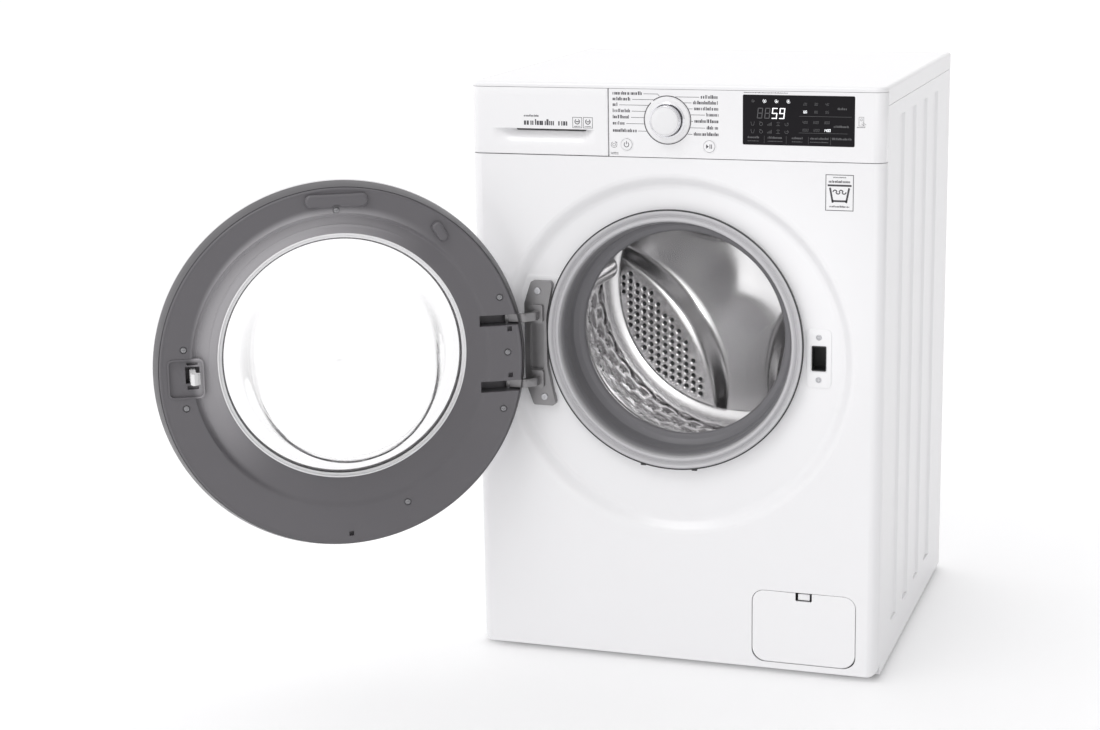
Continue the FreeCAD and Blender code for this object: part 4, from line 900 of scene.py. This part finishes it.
def gasket():
    """The door seal, with its front lip, ridges, bellows fold and inner lip, its tabs and a black ring of
    painted shadow round its edge.
    """
    profile = [(188.4, FRONT_Y - 0.6), (188.6, -276), (187, -268.1), (182.8, -268.1), (182.8, -257),
               (180, -250),
               (187, -240), (187, -232), (181, -224), (180.5, -198), (176.2, -198), (176.2, -207),
               (170, -210),
               (157, -213.5), (150.5, -218), (149.2, -222), (152, -225.5), (158, -226.5), (165, -233),
               (166.5, -243),
               (166.5, -258), (168.5, -264), (170.5, -268), (170.8, -276), (172.4, -280.5), (175, -281.6),
               (177.4, -279.4), (179, -276.6), (181, -277.6), (183, -281.0), (185.4, -282.6), (187.4, -282.0)]
    radii = [0.6, 1, 0.5, 0.5, 1, 3, 3, 3, 3, 0.8, 0.5, 1, 2, 3, 2, 1.5, 1.5, 3, 4, 4, 3, 2, 2, 2, 1.2, 1.2,
             0.8,
             0.8, 0.8, 1.4, 1, 0.6]
    made = lathe("gasket_bellows", rounded(profile, radii, 3), 0, DRUM_Z, 208)
    finish_piece(made, "gasket", None, ["door_gasket"], sharp=60)
    tabs = plates("gasket_tabs", [bar((x - 4, x + 4), (z - 1, z + 2), 0.8) for x,
                                  z in ((-45, 300.5), (31, 297.5))],
                  (-281.4, -278.6))
    finish_piece(tabs, "black", "cabinet")
    # Painted shadow: a thin black ring at the seal's outer edge stands for the shade in the gap next to the
    # mouth.
    shadow_gap_ring = [(187.5, -282.6), (189.3, -282.1), (189.3, -279.6), (187.5, -279.6)]
    finish_piece(lathe("gasket_painted_shadow_gap", shadow_gap_ring, 0, DRUM_Z, 208), "black", "cabinet")
    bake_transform(made)


# ---------------------------------------------------------------- door

DOOR_R = 267.0
DOOR_Z = 458.0
FACE_Y = -285.0
FACE_R = 258.0
BACK_Y = -314.0
GLASS_R = 177.0
GLASS_Z = 475.5
ARM_ZS = (417.0, 514.0)
HOOK = (210.0, 462.0)
SCREWS = ((223.0, 499.0), (223.0, 415.0), (-227.0, 548.0), (-237.0, 467.0), (-229.0, 384.0), (-85.0, 255.0),
          (2.0, 685.0))


def door_frame():
    """The door's inner moulding: a dished face between the glass and the rim, with its pockets and pads."""
    segments = 240
    channel = 9.5
    rings = 40
    vertices = []
    faces = []
    for i in range(segments):
        a = 2 * math.pi * i / segments
        sin, cos = math.sin(a), math.cos(a)
        fade = 0.12 + 0.88 * smoothstep((math.cos(a - DEEPEST_AND_PAINTED_LIGHT_SIDE) + 0.35) / 0.8)
        inner = (GLASS_R * sin, GLASS_Z + GLASS_R * cos)
        ledge = ((GLASS_R + 12) * sin, GLASS_Z + (GLASS_R + 12) * cos)
        outer = ((FACE_R - 4) * sin, DOOR_Z + (FACE_R - 4) * cos)
        column = [(ledge[0], BACK_Y + 1, ledge[1]), (ledge[0], FACE_Y - 3.2, ledge[1]),
                  (inner[0], FACE_Y - 3.2, inner[1]), (inner[0], FACE_Y - 1.0, inner[1])]
        for k in range(rings + 1):
            s = k / rings
            dip = min(1.0, max(0.0, (s - 0.02) / 0.36)) * smoothstep((0.48 - s) / 0.10) * fade
            lip = 1.0 if k else 0.7
            column.append((inner[0] + (outer[0] - inner[0]) * s, FACE_Y - channel * dip - (1 - lip),
                           inner[1] + (outer[1] - inner[1]) * s))
        for r, y in ((FACE_R - 2.6, FACE_Y + 0.5), (FACE_R - 1.2, FACE_Y + 0.35),
                     (FACE_R - 0.2, FACE_Y - 0.6),
                     (FACE_R + 0.3, FACE_Y - 2.2), (DOOR_R - 1.6, BACK_Y + 6.0), (DOOR_R - 1.3, BACK_Y + 5.2),
                     (DOOR_R - 2.4, BACK_Y + 4.6), (DOOR_R - 2.4, BACK_Y + 1)):
            column.append((r * sin, y, DOOR_Z + r * cos))
        count = len(column)
        vertices += column
        following = (i + 1) % segments
        faces += [(i * count + j, i * count + (j + 1) % count, following * count + (j + 1) % count,
                   following * count + j) for j in range(count)]
    made = new_object("door_moulding", vertices, faces)
    pads = plates("pads", [bar((-43, 46), (689, 708), 9, 6),
                           rounded([(-157, 638), (-144, 632.5), (-129, 656), (-142, 665)], 6, 6)],
                  (FACE_Y - 6, FACE_Y + 8))
    rounded_edges(pads, 4.4, 6)
    latch = plates("latch", [bar((196, 247), (429, 486), 8, 5)],
                   (FACE_Y - 6, FACE_Y + 1.6))
    rounded_edges(latch, 0.7, 2)
    carve(made, [pads, latch], "UNION")
    cutters = [peg(2, 685, 9, (FACE_Y - 0.4, FACE_Y + 9)),
               plates("cut", [bar((198, 244.5), (431.5, 483.5), 6, 4)], (FACE_Y - 2.8, FACE_Y + 5)),
               block((HOOK[0] - 8, HOOK[0] + 12), (BACK_Y + 4, FACE_Y + 3), (HOOK[1] - 12, HOOK[1] + 12)),
               plates("cut", [bar((HOOK[0] - 6, HOOK[0] + 10), z, 1.5) for z in ((476.5, 480.5),
                                                                                 (441.5, 447.5))],
                      (FACE_Y - 9, FACE_Y + 3))]
    for z in ARM_ZS:
        cutters.append(block((-275, -197), (HINGE[1] - 5.8, FACE_Y + 3), (z - 8, z + 8)))
    for x, z in ((-240.5, 501.0), (-240.5, 433.0), (-2.0, 214.0)):
        cutters.append(block((x - 3.4, x + 3.4), (FACE_Y - 7, FACE_Y + 3), (z - 3.4, z + 3.4)))
    for x, z in SCREWS:
        cutters.append(peg(x, z, 5.4, (FACE_Y - 1.6, FACE_Y + 3)))
    carve(made, cutters)
    made.data.transform(in_metres(DOOR_TURN))
    finish_piece(made, "door_face", "door", ["door_inner_frame"], sharp=38)


def bowl_depth(r, a):
    """How far the bowl stands into the drum at radius r: steep at the sides and foot, fading out upwards."""
    rise = math.cos(a)
    floor = 122 + 17 * max(0.0, -rise) ** 1.5 + 16 * max(0.0, rise)
    share = smoothstep((149.0 - r) / (149.0 - floor))
    return 66.0 * share * ramp((138.0 - r * rise) / 185.0)


def door_glass():
    """The moulded glass bowl with its flat flange."""
    segments = 192
    flange_y = FACE_Y - 7
    radii = [3 + 145.0 * (i / 46) ** 0.8 for i in range(47)] + [151, 154, 158, 164, 172, 180, GLASS_R + 5.5]
    vertices = [(0, flange_y + 2 + bowl_depth(0, math.pi / 2), GLASS_Z)]
    faces = []
    for r in radii:
        for i in range(segments):
            a = 2 * math.pi * i / segments
            vertices.append((r * math.sin(a), flange_y + 2 + bowl_depth(r, a), GLASS_Z + r * math.cos(a)))
    for i in range(segments):
        following = (i + 1) % segments
        faces.append((0, 1 + i, 1 + following))
        for k in range(len(radii) - 1):
            here = 1 + k * segments
            faces.append((here + i, here + segments + i, here + segments + following, here + following))
    made = new_object("door_bowl", vertices, faces, place=DOOR_TURN)
    soft = made.modifiers.new("soft", "SMOOTH")
    soft.factor = 0.6
    soft.iterations = 4
    applied(made)
    thicken(made, 2.6, 0.0)
    finish_piece(made, "glass", "door", ["door_glass"], sharp=50)


def cross_screws(name, places, radius, foot, face, place):
    """Pan heads with a cross recess, from their feet to their faces along Y."""
    arm = radius * 0.62
    wide = radius * 0.13
    heads = []
    for x, z in places:
        profile = [(0, foot), (radius, foot), (radius, face - 1.1), (radius * 0.86, face - 0.4),
                   (radius * 0.5, face),
                   (0, face + 0.1)]
        cross = [(x - arm, z - wide), (x - wide, z - wide), (x - wide, z - arm), (x + wide, z - arm),
                 (x + wide, z - wide), (x + arm, z - wide), (x + arm, z + wide), (x + wide, z + wide),
                 (x + wide, z + arm), (x - wide, z + arm), (x - wide, z + wide), (x - arm, z + wide)]
        heads.append(carve(disc("head", profile, x, z, 40), [plates("cross", [cross],
                                                                    (face - 1.3, face + 2))]))
    return joined(name, heads, place)


def joined(name, parts, place):
    """One object from several meshes."""
    mesh = bmesh.new()
    for part in parts:
        mesh.from_mesh(part.data)
        old = part.data
        bpy.data.objects.remove(part)
        bpy.data.meshes.remove(old)
    data = bpy.data.meshes.new(name)
    mesh.to_mesh(data)
    mesh.free()
    data.transform(in_metres(place))
    made = bpy.data.objects.new(name, data)
    bpy.context.scene.collection.objects.link(made)
    return made


def door_details():
    """Screws, the pale ring round the glass and the ramps in the hinge slots."""
    screws = cross_screws("door_face_screws", SCREWS, 4.3, FACE_Y - 3, FACE_Y - 0.2, DOOR_TURN)
    finish_piece(screws, "dark_screw", "door", ["door_screws"], sharp=30)
    band = rounded([(FACE_R + 0.9, FACE_Y - 2.6), (FACE_R + 1.5, FACE_Y - 3.0), (DOOR_R - 0.9, BACK_Y + 6.2),
                    (DOOR_R - 1.7, BACK_Y + 5.6)], 0.2, 3)
    finish_piece(lathe("door_side_band", band, 0, DOOR_Z, 240, DOOR_TURN), "rim", "door")
    trim = rounded([(GLASS_R - 6.5, FACE_Y - 3.0), (GLASS_R - 0.1, FACE_Y - 3.0),
                    (GLASS_R - 0.1, FACE_Y + 0.4),
                    (GLASS_R - 2.2, FACE_Y + 0.4), (GLASS_R - 3.6, FACE_Y - 1.4),
                    (GLASS_R - 6.5, FACE_Y - 1.8)],
                   [0.2, 0.2, 0.9, 0.9, 1.2, 0.5], 4)
    finish_piece(lathe("glass_edge_trim", trim, 0, GLASS_Z, 208, DOOR_TURN), "gloss", "door")
    ramps = [bar((-268, -250), (z - 5.5, z + 5.5), 1.5) for z in ARM_ZS]
    ramp = plates("hinge_slot_ramps", ramps, (HINGE[1] + 6, HINGE[1] + 9), DOOR_TURN)
    finish_piece(ramp, "cast", "door")


# ---------------------------------------------------------------- console

def ticks(x, z, length, rng, height=4.9):
    """A line of plain upright strokes of uneven height and width, standing for a printed label."""
    strokes = []
    at = x
    while at < x + length - 0.6:
        wide = rng.choice((0.2, 0.24, 0.36)) * height
        tall = height * rng.choice((0.72, 0.72, 0.72, 1.0))
        strokes.append(bar((at, at + wide), (z - height * 0.36, z - height * 0.36 + tall)))
        at += wide + rng.choice((0.12, 0.12, 0.14, 0.3)) * height
    return strokes


DIAL = [sum(span("programme_dial")[i]) / 2 for i in (0, 2)]
POWER = [sum(span("power_button")[i]) / 2 for i in (0, 2)]
START = [sum(span("start_button")[i]) / 2 for i in (0, 2)]
SEGMENTS = {"0": "abcdef", "1": "bc", "2": "abged", "3": "abgcd", "4": "fgbc", "5": "afgcd", "6": "afgedc",
            "7": "abc", "8": "abcdefg", "9": "abcdfg"}


def digit(char, x, z, width, height, stroke):
    """A seven segment figure with its lower left corner at (x, z)."""
    gap = stroke * 0.18
    middle = z + height / 2
    top = z + height
    right = x + width
    places = {
        "a": ((x + gap, top), (right - gap, top)), "d": ((x + gap, z), (right - gap, z)),
        "g": ((x + gap, middle), (right - gap, middle)),
        "b": ((right, middle + gap), (right, top - gap)), "c": ((right, z + gap), (right, middle - gap)),
        "f": ((x, middle + gap), (x, top - gap)), "e": ((x, z + gap), (x, middle - gap)),
    }
    strokes = [line(*places[s], stroke) for s in SEGMENTS[char]]
    return [[(px + (pz - z) * 0.1, pz) for px, pz in outline] for outline in strokes]


def number(text, x, z, height, stroke):
    """Seven segment figures in a row."""
    width = height * 0.52
    strokes = []
    for i, char in enumerate(text):
        strokes += digit(char, x + i * width * 1.55, z, width, height, stroke)
    return strokes


def programme_labels():
    """Seven plain label marks each side of the dial, with their leader lines."""
    rng = random.Random(7)
    strokes = []
    leaders = []
    left = [(836, (25, 16)), (828, (26,)), (820, (7,)), (811.5, (25,)), (802.8, (24,)), (794, (17,)),
            (783.8, (34,))]
    right = [(832.5, (25,)), (824.5, (36,)), (816.3, (15, 18)), (808, (17,)), (799, (34,)), (790, (10, 5)),
             (781, (35,))]
    for side, rows in ((-1, left), (1, right)):
        for z, words in rows:
            length = sum(words) + 1.5 * (len(words) - 1)
            x = -86.0 if side < 0 else 66.5 - length
            leaders.append((x + length + 3.0 if side < 0 else x - 2.5, z, side))
            for word in words:
                strokes += ticks(x, z, word, rng)
                x += word + 1.5
    lines = []
    for x, z, side in leaders:
        reach = 34.6
        rise = z - DIAL[1]
        if abs(rise) < reach - 2:
            end = DIAL[0] + side * math.sqrt(reach ** 2 - rise ** 2)
            if (end - x) * side < -1:
                lines.append(line((x, z), (end, z), 0.6))
        else:
            knee = DIAL[0] + side * 14
            lines.append(line((x, z), (knee, z), 0.6))
            lines.append(line((knee, z), (DIAL[0] + side * 11.5, DIAL[1] + 33.2), 0.6))
    return strokes, lines


def console_print():
    """The plain marks and leader lines printed on the console, and rings of painted shadow round the dial."""
    y = (FRONT_Y - 0.12, FRONT_Y + 0.3)
    rng = random.Random(11)
    strokes, lines = programme_labels()
    strokes += ticks(102.5, 840.2, 62, rng, 1.2)
    strokes += ticks(-89.5, 752.9, 12, rng, 1.1) + ticks(-89.5, 750.9, 12, rng, 1.1)
    strokes += ticks(259.5, 795.5, 12, rng, 1.1)
    dark = plates("console_labels", strokes, y)
    finish_piece(dark, "ink", "cabinet", sharp=0)
    # Painted shadow: the three dark rings round the dial stand for the shade in the gaps and the groove round
    # the dial ring and knob.
    lines.append(arc(*DIAL, 33.6, 1.25, -37, 315, 96))
    lines += [arc(*DIAL, 27.6, 0.55, 0, 360, 96), arc(*DIAL, 22.15, 0.6, 0, 360, 96)]
    tag = (262.5, 797.5)
    lines += outline_strokes(bar((tag[0], tag[0] + 6.5), (tag[1], tag[1] + 12)), 0.4)
    lines += [line((tag[0] + 3.5, tag[1] + 3), (tag[0] + 8.5, tag[1] - 0.6), 0.4),
              line((tag[0] + 5, tag[1] + 5), (tag[0] + 9.5, tag[1] + 1.6), 0.4),
              arc(tag[0] + 3.4, tag[1] + 8.5, 1.5, 0.4, 0, 360)]
    mark = (-84.5, 764.0)
    lines += [arc(*mark, 4.2, 0.5, 20, 330), arc(*mark, 2.1, 0.5, 0, 360),
              line((mark[0] + 1.6, mark[1] + 4.2), (mark[0] + 4.6, mark[1] + 3.0), 0.5)]
    thin = plates("console_lines_and_painted_shadow_rings", lines, y)
    finish_piece(thin, "ink", "cabinet", sharp=0)


def outline_strokes(points, width):
    """A stroke along every side of an outline."""
    return [line(points[i], points[(i + 1) % len(points)], width) for i in range(len(points))]


def button_symbols():
    """The marks on the two push buttons and the bezels round them."""
    face = span("power_button")[1][0]
    y = (face - 0.08, face + 0.2)
    power = plates("power_symbol", [arc(*POWER, 3.4, 0.95, 34, 326),
                                    line((POWER[0], POWER[1] + 0.9), (POWER[0], POWER[1] + 4.4), 0.95)], y)
    finish_piece(power, "ink", "power_button", sharp=0)
    x, z = START
    start = plates("start_symbol", [[(x - 4.2, z - 3.0), (x - 0.6, z), (x - 4.2, z + 3.0)],
                                    bar((x + 0.7, x + 1.8), (z - 3.0, z + 3.0)),
                                    bar((x + 3.0, x + 4.1), (z - 3.0, z + 3.0))], y)
    finish_piece(start, "ink", "start_button", sharp=0)
    rings = [lathe("button_bezel_" + str(i + 1),
                   rounded([(8.5, FRONT_Y + 0.4), (8.5, FRONT_Y - 0.35), (9.6, FRONT_Y - 0.5),
                            (10.2, FRONT_Y + 0.4)],
                           [0, 0.2, 0.3, 0], 3), *place, 72) for i, place in enumerate((POWER, START))]
    for ring in rings:
        finish_piece(ring, "gloss", "cabinet")


def display():
    """Figures, small icons, rules and touch marks behind the dark window."""
    box = span("display_window")
    x0 = box[0][0] - 0.3
    top = box[2][1] + 0.3
    y = (box[1][0] - 0.1, box[1][0] + 0.3)
    lit = []
    dim = []
    for i, char in enumerate("59"):
        lit += digit(char, x0 + 41.0 + i * 10.4, top - 32.0, 6.2, 13.6, 1.15)
    for i in range(2):
        dim += digit("8", x0 + 20.5 + i * 10.4, top - 32.0, 6.2, 13.6, 1.0)
    for i in range(3):
        lit += badge_icon(x0 + 30.5 + i * 16.8, top - 8.6, 2.2, i)
    dim += badge_icon(x0 + 14.5, top - 8.6, 1.8, 1)
    for row in range(2):
        for column in range(5):
            dim += small_icon(x0 + 14 + column * 11.9, top - 39.6 - row * 10.6, row * 5 + column)
    temperatures = (("20", "30", "40"), ("60", "80", "95"))
    spins = (("400", "600", "800"), ("1000", "1200", "1400"))
    for block_z, table, glowing in ((11.8, temperatures, "60"), (36.6, spins, "1400")):
        for row, texts in enumerate(table):
            for column, text in enumerate(texts):
                height = 3.2
                width = len(text) * height * 0.52 * 1.55
                strokes = number(text, x0 + 87.5 + column * 15.2 - width / 2,
                                 top - block_z - row * 10.6 - height / 2,
                                 height, 0.34)
                if text == glowing:
                    lit += strokes
                else:
                    dim += strokes
    rng = random.Random(3)
    dim += ticks(x0 + 132, top - 17.8, 13, rng, 3.2)
    dim += ticks(x0 + 127, top - 42, 21, rng, 3.0)
    for z, right in ((28.4, 151), (51.2, 146)):
        dim.append(line((x0 + 79, top - z), (x0 + right, top - z), 0.35))
    for i, length in enumerate((16, 21, 15, 26, 27)):
        centre = x0 + 15 + i * 30.8
        dim += ticks(centre - length / 2, top - 58.8, length, rng, 3.0)
        if i < 4:
            dim += ticks(centre - length / 2, top - 63.6, length, rng, 1.3)
            dim.append(line((centre + 15.4, top - 56.5), (centre + 15.4, top - 66.4), 0.3))
    finish_piece(plates("display_lit_marks", lit, y), "lit", "cabinet", sharp=0)
    finish_piece(plates("display_dim_marks", dim, y), "dim", "cabinet", sharp=0)


def badge_icon(x, z, size, kind):
    """A small round icon with a crossbar."""
    strokes = [arc(x, z, size, 0.4, 20 + 40 * kind, 340 + 30 * kind)]
    strokes.append(line((x - size * 0.5, z), (x + size * 0.5, z), 0.4))
    strokes.append(line((x, z - size * 0.6), (x, z + size * 0.6), 0.35))
    return strokes


def small_icon(x, z, kind):
    """One of five plain status icons: a tub, drop, steps, arrows or crossed circle."""
    size = 2.4
    if kind % 5 == 0:
        return [line((x - size, z + size), (x - size * 0.6, z - size), 0.45),
                line((x - size * 0.6, z - size), (x + size * 0.6, z - size), 0.45),
                line((x + size * 0.6, z - size), (x + size, z + size), 0.45)]
    if kind % 5 == 1:
        return [arc(x, z - 0.4, size * 0.9, 0.45, 0, 360), line((x - size, z + size), (x, z + size), 0.45)]
    if kind % 5 == 2:
        return [line((x - size + i * 1.6, z - size), (x - size + i * 1.6, z - size + 1.4 + i * 1.0), 0.6)
                for i in range(4)]
    if kind % 5 == 3:
        return [arc(x, z, size, 0.45, -60, 60), line((x - size, z - size), (x + size, z - size), 0.45),
                line((x, z - size), (x, z + size * 0.4), 0.45)]
    return [arc(x, z, size, 0.45, 30, 300), line((x, z), (x + size * 0.8, z + size * 0.6), 0.45)]


def dial():
    """The programme knob: a domed white cap in a bright band."""
    box = span("programme_dial")
    face = box[1][0]
    r = (box[0][1] - box[0][0]) / 2
    cap_profile = [(0, face - 0.3), (6, face - 0.28), (12, face - 0.15), (r - 3.2, face + 0.25),
                   (r - 2.3, face + 0.7),
                   (r - 2.1, face + 1.6), (r - 2.6, face + 3.0), (0, face + 3.0)]
    cap = disc("dial_cap", cap_profile, *DIAL, 96)
    finish_piece(cap, "knob", "dial", ["programme_dial"], sharp=40)
    band = rounded([(r - 2.05, face + 1.0), (r - 1.0, face + 0.6), (r - 0.1, face + 3.4),
                    (r + 0.2, FRONT_Y - 1.3),
                    (r - 2.8, FRONT_Y - 1.3), (r - 2.8, face + 2.8)], [0.3, 0.5, 3, 0.3, 0.3, 0.2], 4)
    finish_piece(lathe("dial_band", band, *DIAL, 144), "chrome", "dial")
    inner = rounded([(22.4, FRONT_Y + 0.2), (22.5, FRONT_Y - 2.9), (23.6, FRONT_Y - 3.3),
                     (25.4, FRONT_Y - 2.6),
                     (25.6, FRONT_Y + 0.2)], [0, 0.4, 0.5, 0.3, 0], 3)
    finish_piece(lathe("dial_bezel", inner, *DIAL, 144), "chrome", "cabinet")


# ---------------------------------------------------------------- drawer

def scoop_share(x):
    """How much of the finger scoop's depth is left at x."""
    return smoothstep((x + 268) / 34) * smoothstep((-112 - x) / 22)


def drawer_front():
    """The drawer's fascia, with a scoop for the fingers under a straight edge."""
    box = span("drawer_front")
    x0, x1 = box[0]
    y0, y1 = box[1]
    z0, z1 = box[2]
    corner = 16.0
    edge = 784.0
    plan = [(x0, y1, -1, 0), (x0, y1 - 1.4, -1, 0)]
    for i in range(9):
        a = math.pi / 2 * i / 8
        plan.append((x0 + corner - corner * math.cos(a), y0 + corner - corner * math.sin(a), -math.cos(a),
                     -math.sin(a)))
    count = 84
    for i in range(1, count):
        plan.append((x0 + corner + (x1 - 1.2 - x0 - corner) * i / count, y0, 0, -1))
    for i in range(5):
        a = math.pi / 2 * i / 4
        plan.append((x1 - 1.2 + 1.2 * math.sin(a), y0 + 1.2 - 1.2 * math.cos(a), math.sin(a), -math.cos(a)))
    plan.append((x1, y1, 1, 0))

    def scoop(x, z):
        if z > edge:
            return 0.0
        return 14.5 * scoop_share(x) * smoothstep((z - 756) / (edge - 756)) ** 1.7

    rows = [(z0, 0.9), (z0 + 0.3, 0.35), (z0 + 0.9, 0)]
    rows += [(z0 + 0.9 + (edge - 0.02 - z0 - 0.9) * i / 34, 0) for i in range(1, 35)]
    rows += [(edge + 0.02, 0.45), (edge + 0.35, 0.12), (edge + 0.9, 0), (edge + 4, 0), (edge + 14, 0),
             (z1 - 12, 0), (z1 - 0.9, 0), (z1 - 0.3, 0.35), (z1, 0.9)]
    vertices = []
    for z, inset in rows:
        for x, y, nx, ny in plan:
            softened = inset * (1.0 if z > edge + 10 or z < edge - 10 else scoop_share(x))
            vertices.append((x - nx * softened, y - ny * softened + (scoop(x, z) if ny < -0.99 else 0), z))
    width = len(plan)
    faces = [(j * width + i, j * width + i + 1, (j + 1) * width + i + 1, (j + 1) * width + i)
             for j in range(len(rows) - 1) for i in range(width - 1)]
    made = new_object("drawer_fascia", vertices, faces)
    face_forward(made)
    thicken(made, 2.2)
    finish_piece(made, "gloss", "drawer", ["drawer_front"], sharp=50)


def drawer_marks():
    """A black strip of painted shadow in the slot at the top of the scoop, and plain marks above it."""
    y0 = span("drawer_front")[1][0]
    # Painted shadow: a black plate set under the scoop's top edge stands for the shade in the slot.
    slot = rounded([(-232, 780.4), (-130, 780.4), (-128, 784.2), (-236, 784.2)], [1.8, 1.8, 0.4, 0.4], 5)
    painted_shadow_strip = plates("drawer_slot_painted_shadow", [slot], (y0 + 12.0, y0 + 14.4))
    finish_piece(painted_shadow_strip, "black", "drawer", sharp=0)
    rng = random.Random(5)
    strokes = ticks(-218.4, 792.2, 24, rng, 8.4) + ticks(-191.8, 792.2, 20, rng, 8.4)
    strokes += ticks(-218.4, 802, 23, rng, 3.0)
    strokes += ticks(-167.0, 792.2, 14, rng, 8.4)
    for x in (-145.4, -129.6):
        strokes += outline_strokes(bar((x, x + 13.4), (786.4, 801.2)), 0.6)
        strokes.append(arc(x + 6.7, 795.2, 3.4, 1.1, 30, 330))
        strokes.append(bar((x + 4.6, x + 9.2), (794.6, 795.8)))
        strokes += ticks(x + 1.8, 788.4, 10, rng, 1.6)
    finish_piece(plates("drawer_marks", strokes, (y0 - 0.12, y0 + 0.3)), "ink", "drawer", sharp=0)


def front_label():
    """A plain printed label by the mouth: a frame, rows of dashes, a band and a wash tub."""
    y = span("front_panel")[1][0]
    x0, x1, z0, z1 = 218.0, 256.0, 681.0, 730.0
    rng = random.Random(9)
    strokes = outline_strokes(bar((x0, x1), (z0, z1)), 0.9)
    strokes += ticks(x0 + 10, 726.5, 18, rng, 1.6) + ticks(x0 + 4, 720.5, 30, rng, 3.6)
    strokes.append(bar((x0 + 2.5, x1 - 2.5), (714.2, 716.8)))
    middle = (x0 + x1) / 2
    strokes += [line((middle - 13, 711), (middle - 9.5, 693), 2.6), line((middle - 9.5, 694),
                                                                         (middle + 9.5, 694), 2.6),
                line((middle + 9.5, 693), (middle + 13, 711), 2.6)]
    strokes += [arc(middle + step, 706.5, 2.6, 1.5, turn, turn + 180)
                for step, turn in ((-6.3, -90), (-2.1, 90), (2.1, -90), (6.3, 90))]
    strokes += ticks(x0 + 5, 686.2, 28, rng, 2.6)
    finish_piece(plates("front_label", strokes, (y - 0.12, y + 0.3)), "ink", "cabinet", sharp=0)


def flap_latch():
    """The pale latch face seen in the flap's notch."""
    box = span("service_flap")
    centre = 192.0
    y = box[1][0]
    outline = bar((centre - 8.6, centre + 8.6), (box[2][1] - 10.6, box[2][1] - 1.4), 1.4, 4)
    latch = plates("flap_latch", [outline], (y + 2.2, y + 6))
    rounded_edges(latch, 0.6, 2)
    finish_piece(latch, "gloss", "service_flap", sharp=40)


def mount_pads():
    """Raised pads on the dish round the hinge bracket and the lock."""
    lock = bar((191, 226), (427, 511), 7, 5)
    bend = [math.radians(a) for a in range(-62, -119, -4)]
    hinge = rounded([(-230, 372), (-230, 570), (-190.5 * math.cos(math.radians(26)), 570)], [8, 8, 0], 5)
    hinge += [(190.5 * math.sin(a), DRUM_Z + 190.5 * math.cos(a)) for a in bend]
    hinge += [(-190.5 * math.cos(math.radians(36)), 372)]
    made = plates("mount_pads", [lock, hinge], (-269.3, -266.5))
    rounded_edges(made, 0.9, 3)
    carve(made, [block((196.6, 219.8), (-272, -262), (449.8, 487.8))])
    finish_piece(made, "enamel", "cabinet", sharp=40)


# ---------------------------------------------------------------- cabinet details

def flexing_parts():
    """The hoses and springs between the cabinet and the tub, made again as plain copies of the CAD meshes
    with their own finish, in place of the hidden nodes.
    """
    for name, finish, slot, low, high in (("dispenser_hose", "rubber", "black_rubber", "tub", "cabinet"),
                                          ("sump_hose", "rubber", "black_rubber", "cabinet", "tub"),
                                          ("suspension_springs", "galvanised", "galvanised_steel", "tub",
                                           "cabinet")):
        node = frame["nodes"][name]
        piece = bpy.data.objects.new(name + "_flexing", node.data.copy())
        bpy.context.scene.collection.objects.link(piece)
        piece.data.materials.clear()
        piece.data.materials.append(MATERIAL[finish])
        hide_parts(name)
        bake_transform(piece)


def soft_cad_edges():
    """Small radii on the casing's hard edges, as modifiers over the fixed meshes."""
    widths = {"worktop": 0.8, "control_panel": 0.5, "front_panel": 0.5, "service_flap": 0.5,
              "hinge_bracket": 1.0,
              "door_lock": 0.5, "door_hook": 0.8, "side_panel_left": 0.5, "side_panel_right": 0.5,
              "drum_front": 0.4, "rear_cover": 0.4}
    for name, width in widths.items():
        node = frame["nodes"][name]
        join = node.modifiers.new("join", "WELD")
        join.merge_threshold = 0.00001
        bevel = node.modifiers.new("edge", "BEVEL")
        bevel.width = width * MM
        bevel.segments = 2
        bevel.limit_method = "ANGLE"
        bevel.angle_limit = math.radians(42)
        bevel.harden_normals = True
        bevel.use_clamp_overlap = True


def rear_details():
    """Pressed beads low on the rear wall and a plain plate above the access cover."""
    y = span("rear_wall")[1][1]
    ribs = [bar((x - 80, x + 80), (z - 5, z + 5), 4.9, 5) for x in (-110, 110) for z in (120, 170, 220)]
    made = plates("rear_wall_beads", ribs, (y - 0.5, y + 1.4), smooth=True)
    rounded_edges(made, 1.2, 3)
    finish_piece(made, "enamel", "cabinet", sharp=45)
    label = plates("rear_rating_plate", [bar((-60, 60), (700, 745), 3, 4)], (y - 0.1, y + 0.25))
    finish_piece(label, "galvanised", "cabinet")


def main():
    """The whole picture, piece by piece."""
    camera()
    studio()
    dress_nodes()
    drum_back()
    drum_wall()
    drum_lifters()
    gasket()
    door_frame()
    door_glass()
    door_details()
    console_print()
    button_symbols()
    display()
    dial()
    drawer_front()
    drawer_marks()
    front_label()
    flap_latch()
    mount_pads()
    rear_details()
    flexing_parts()
    soft_cad_edges()


MATERIAL = make_materials()
main()
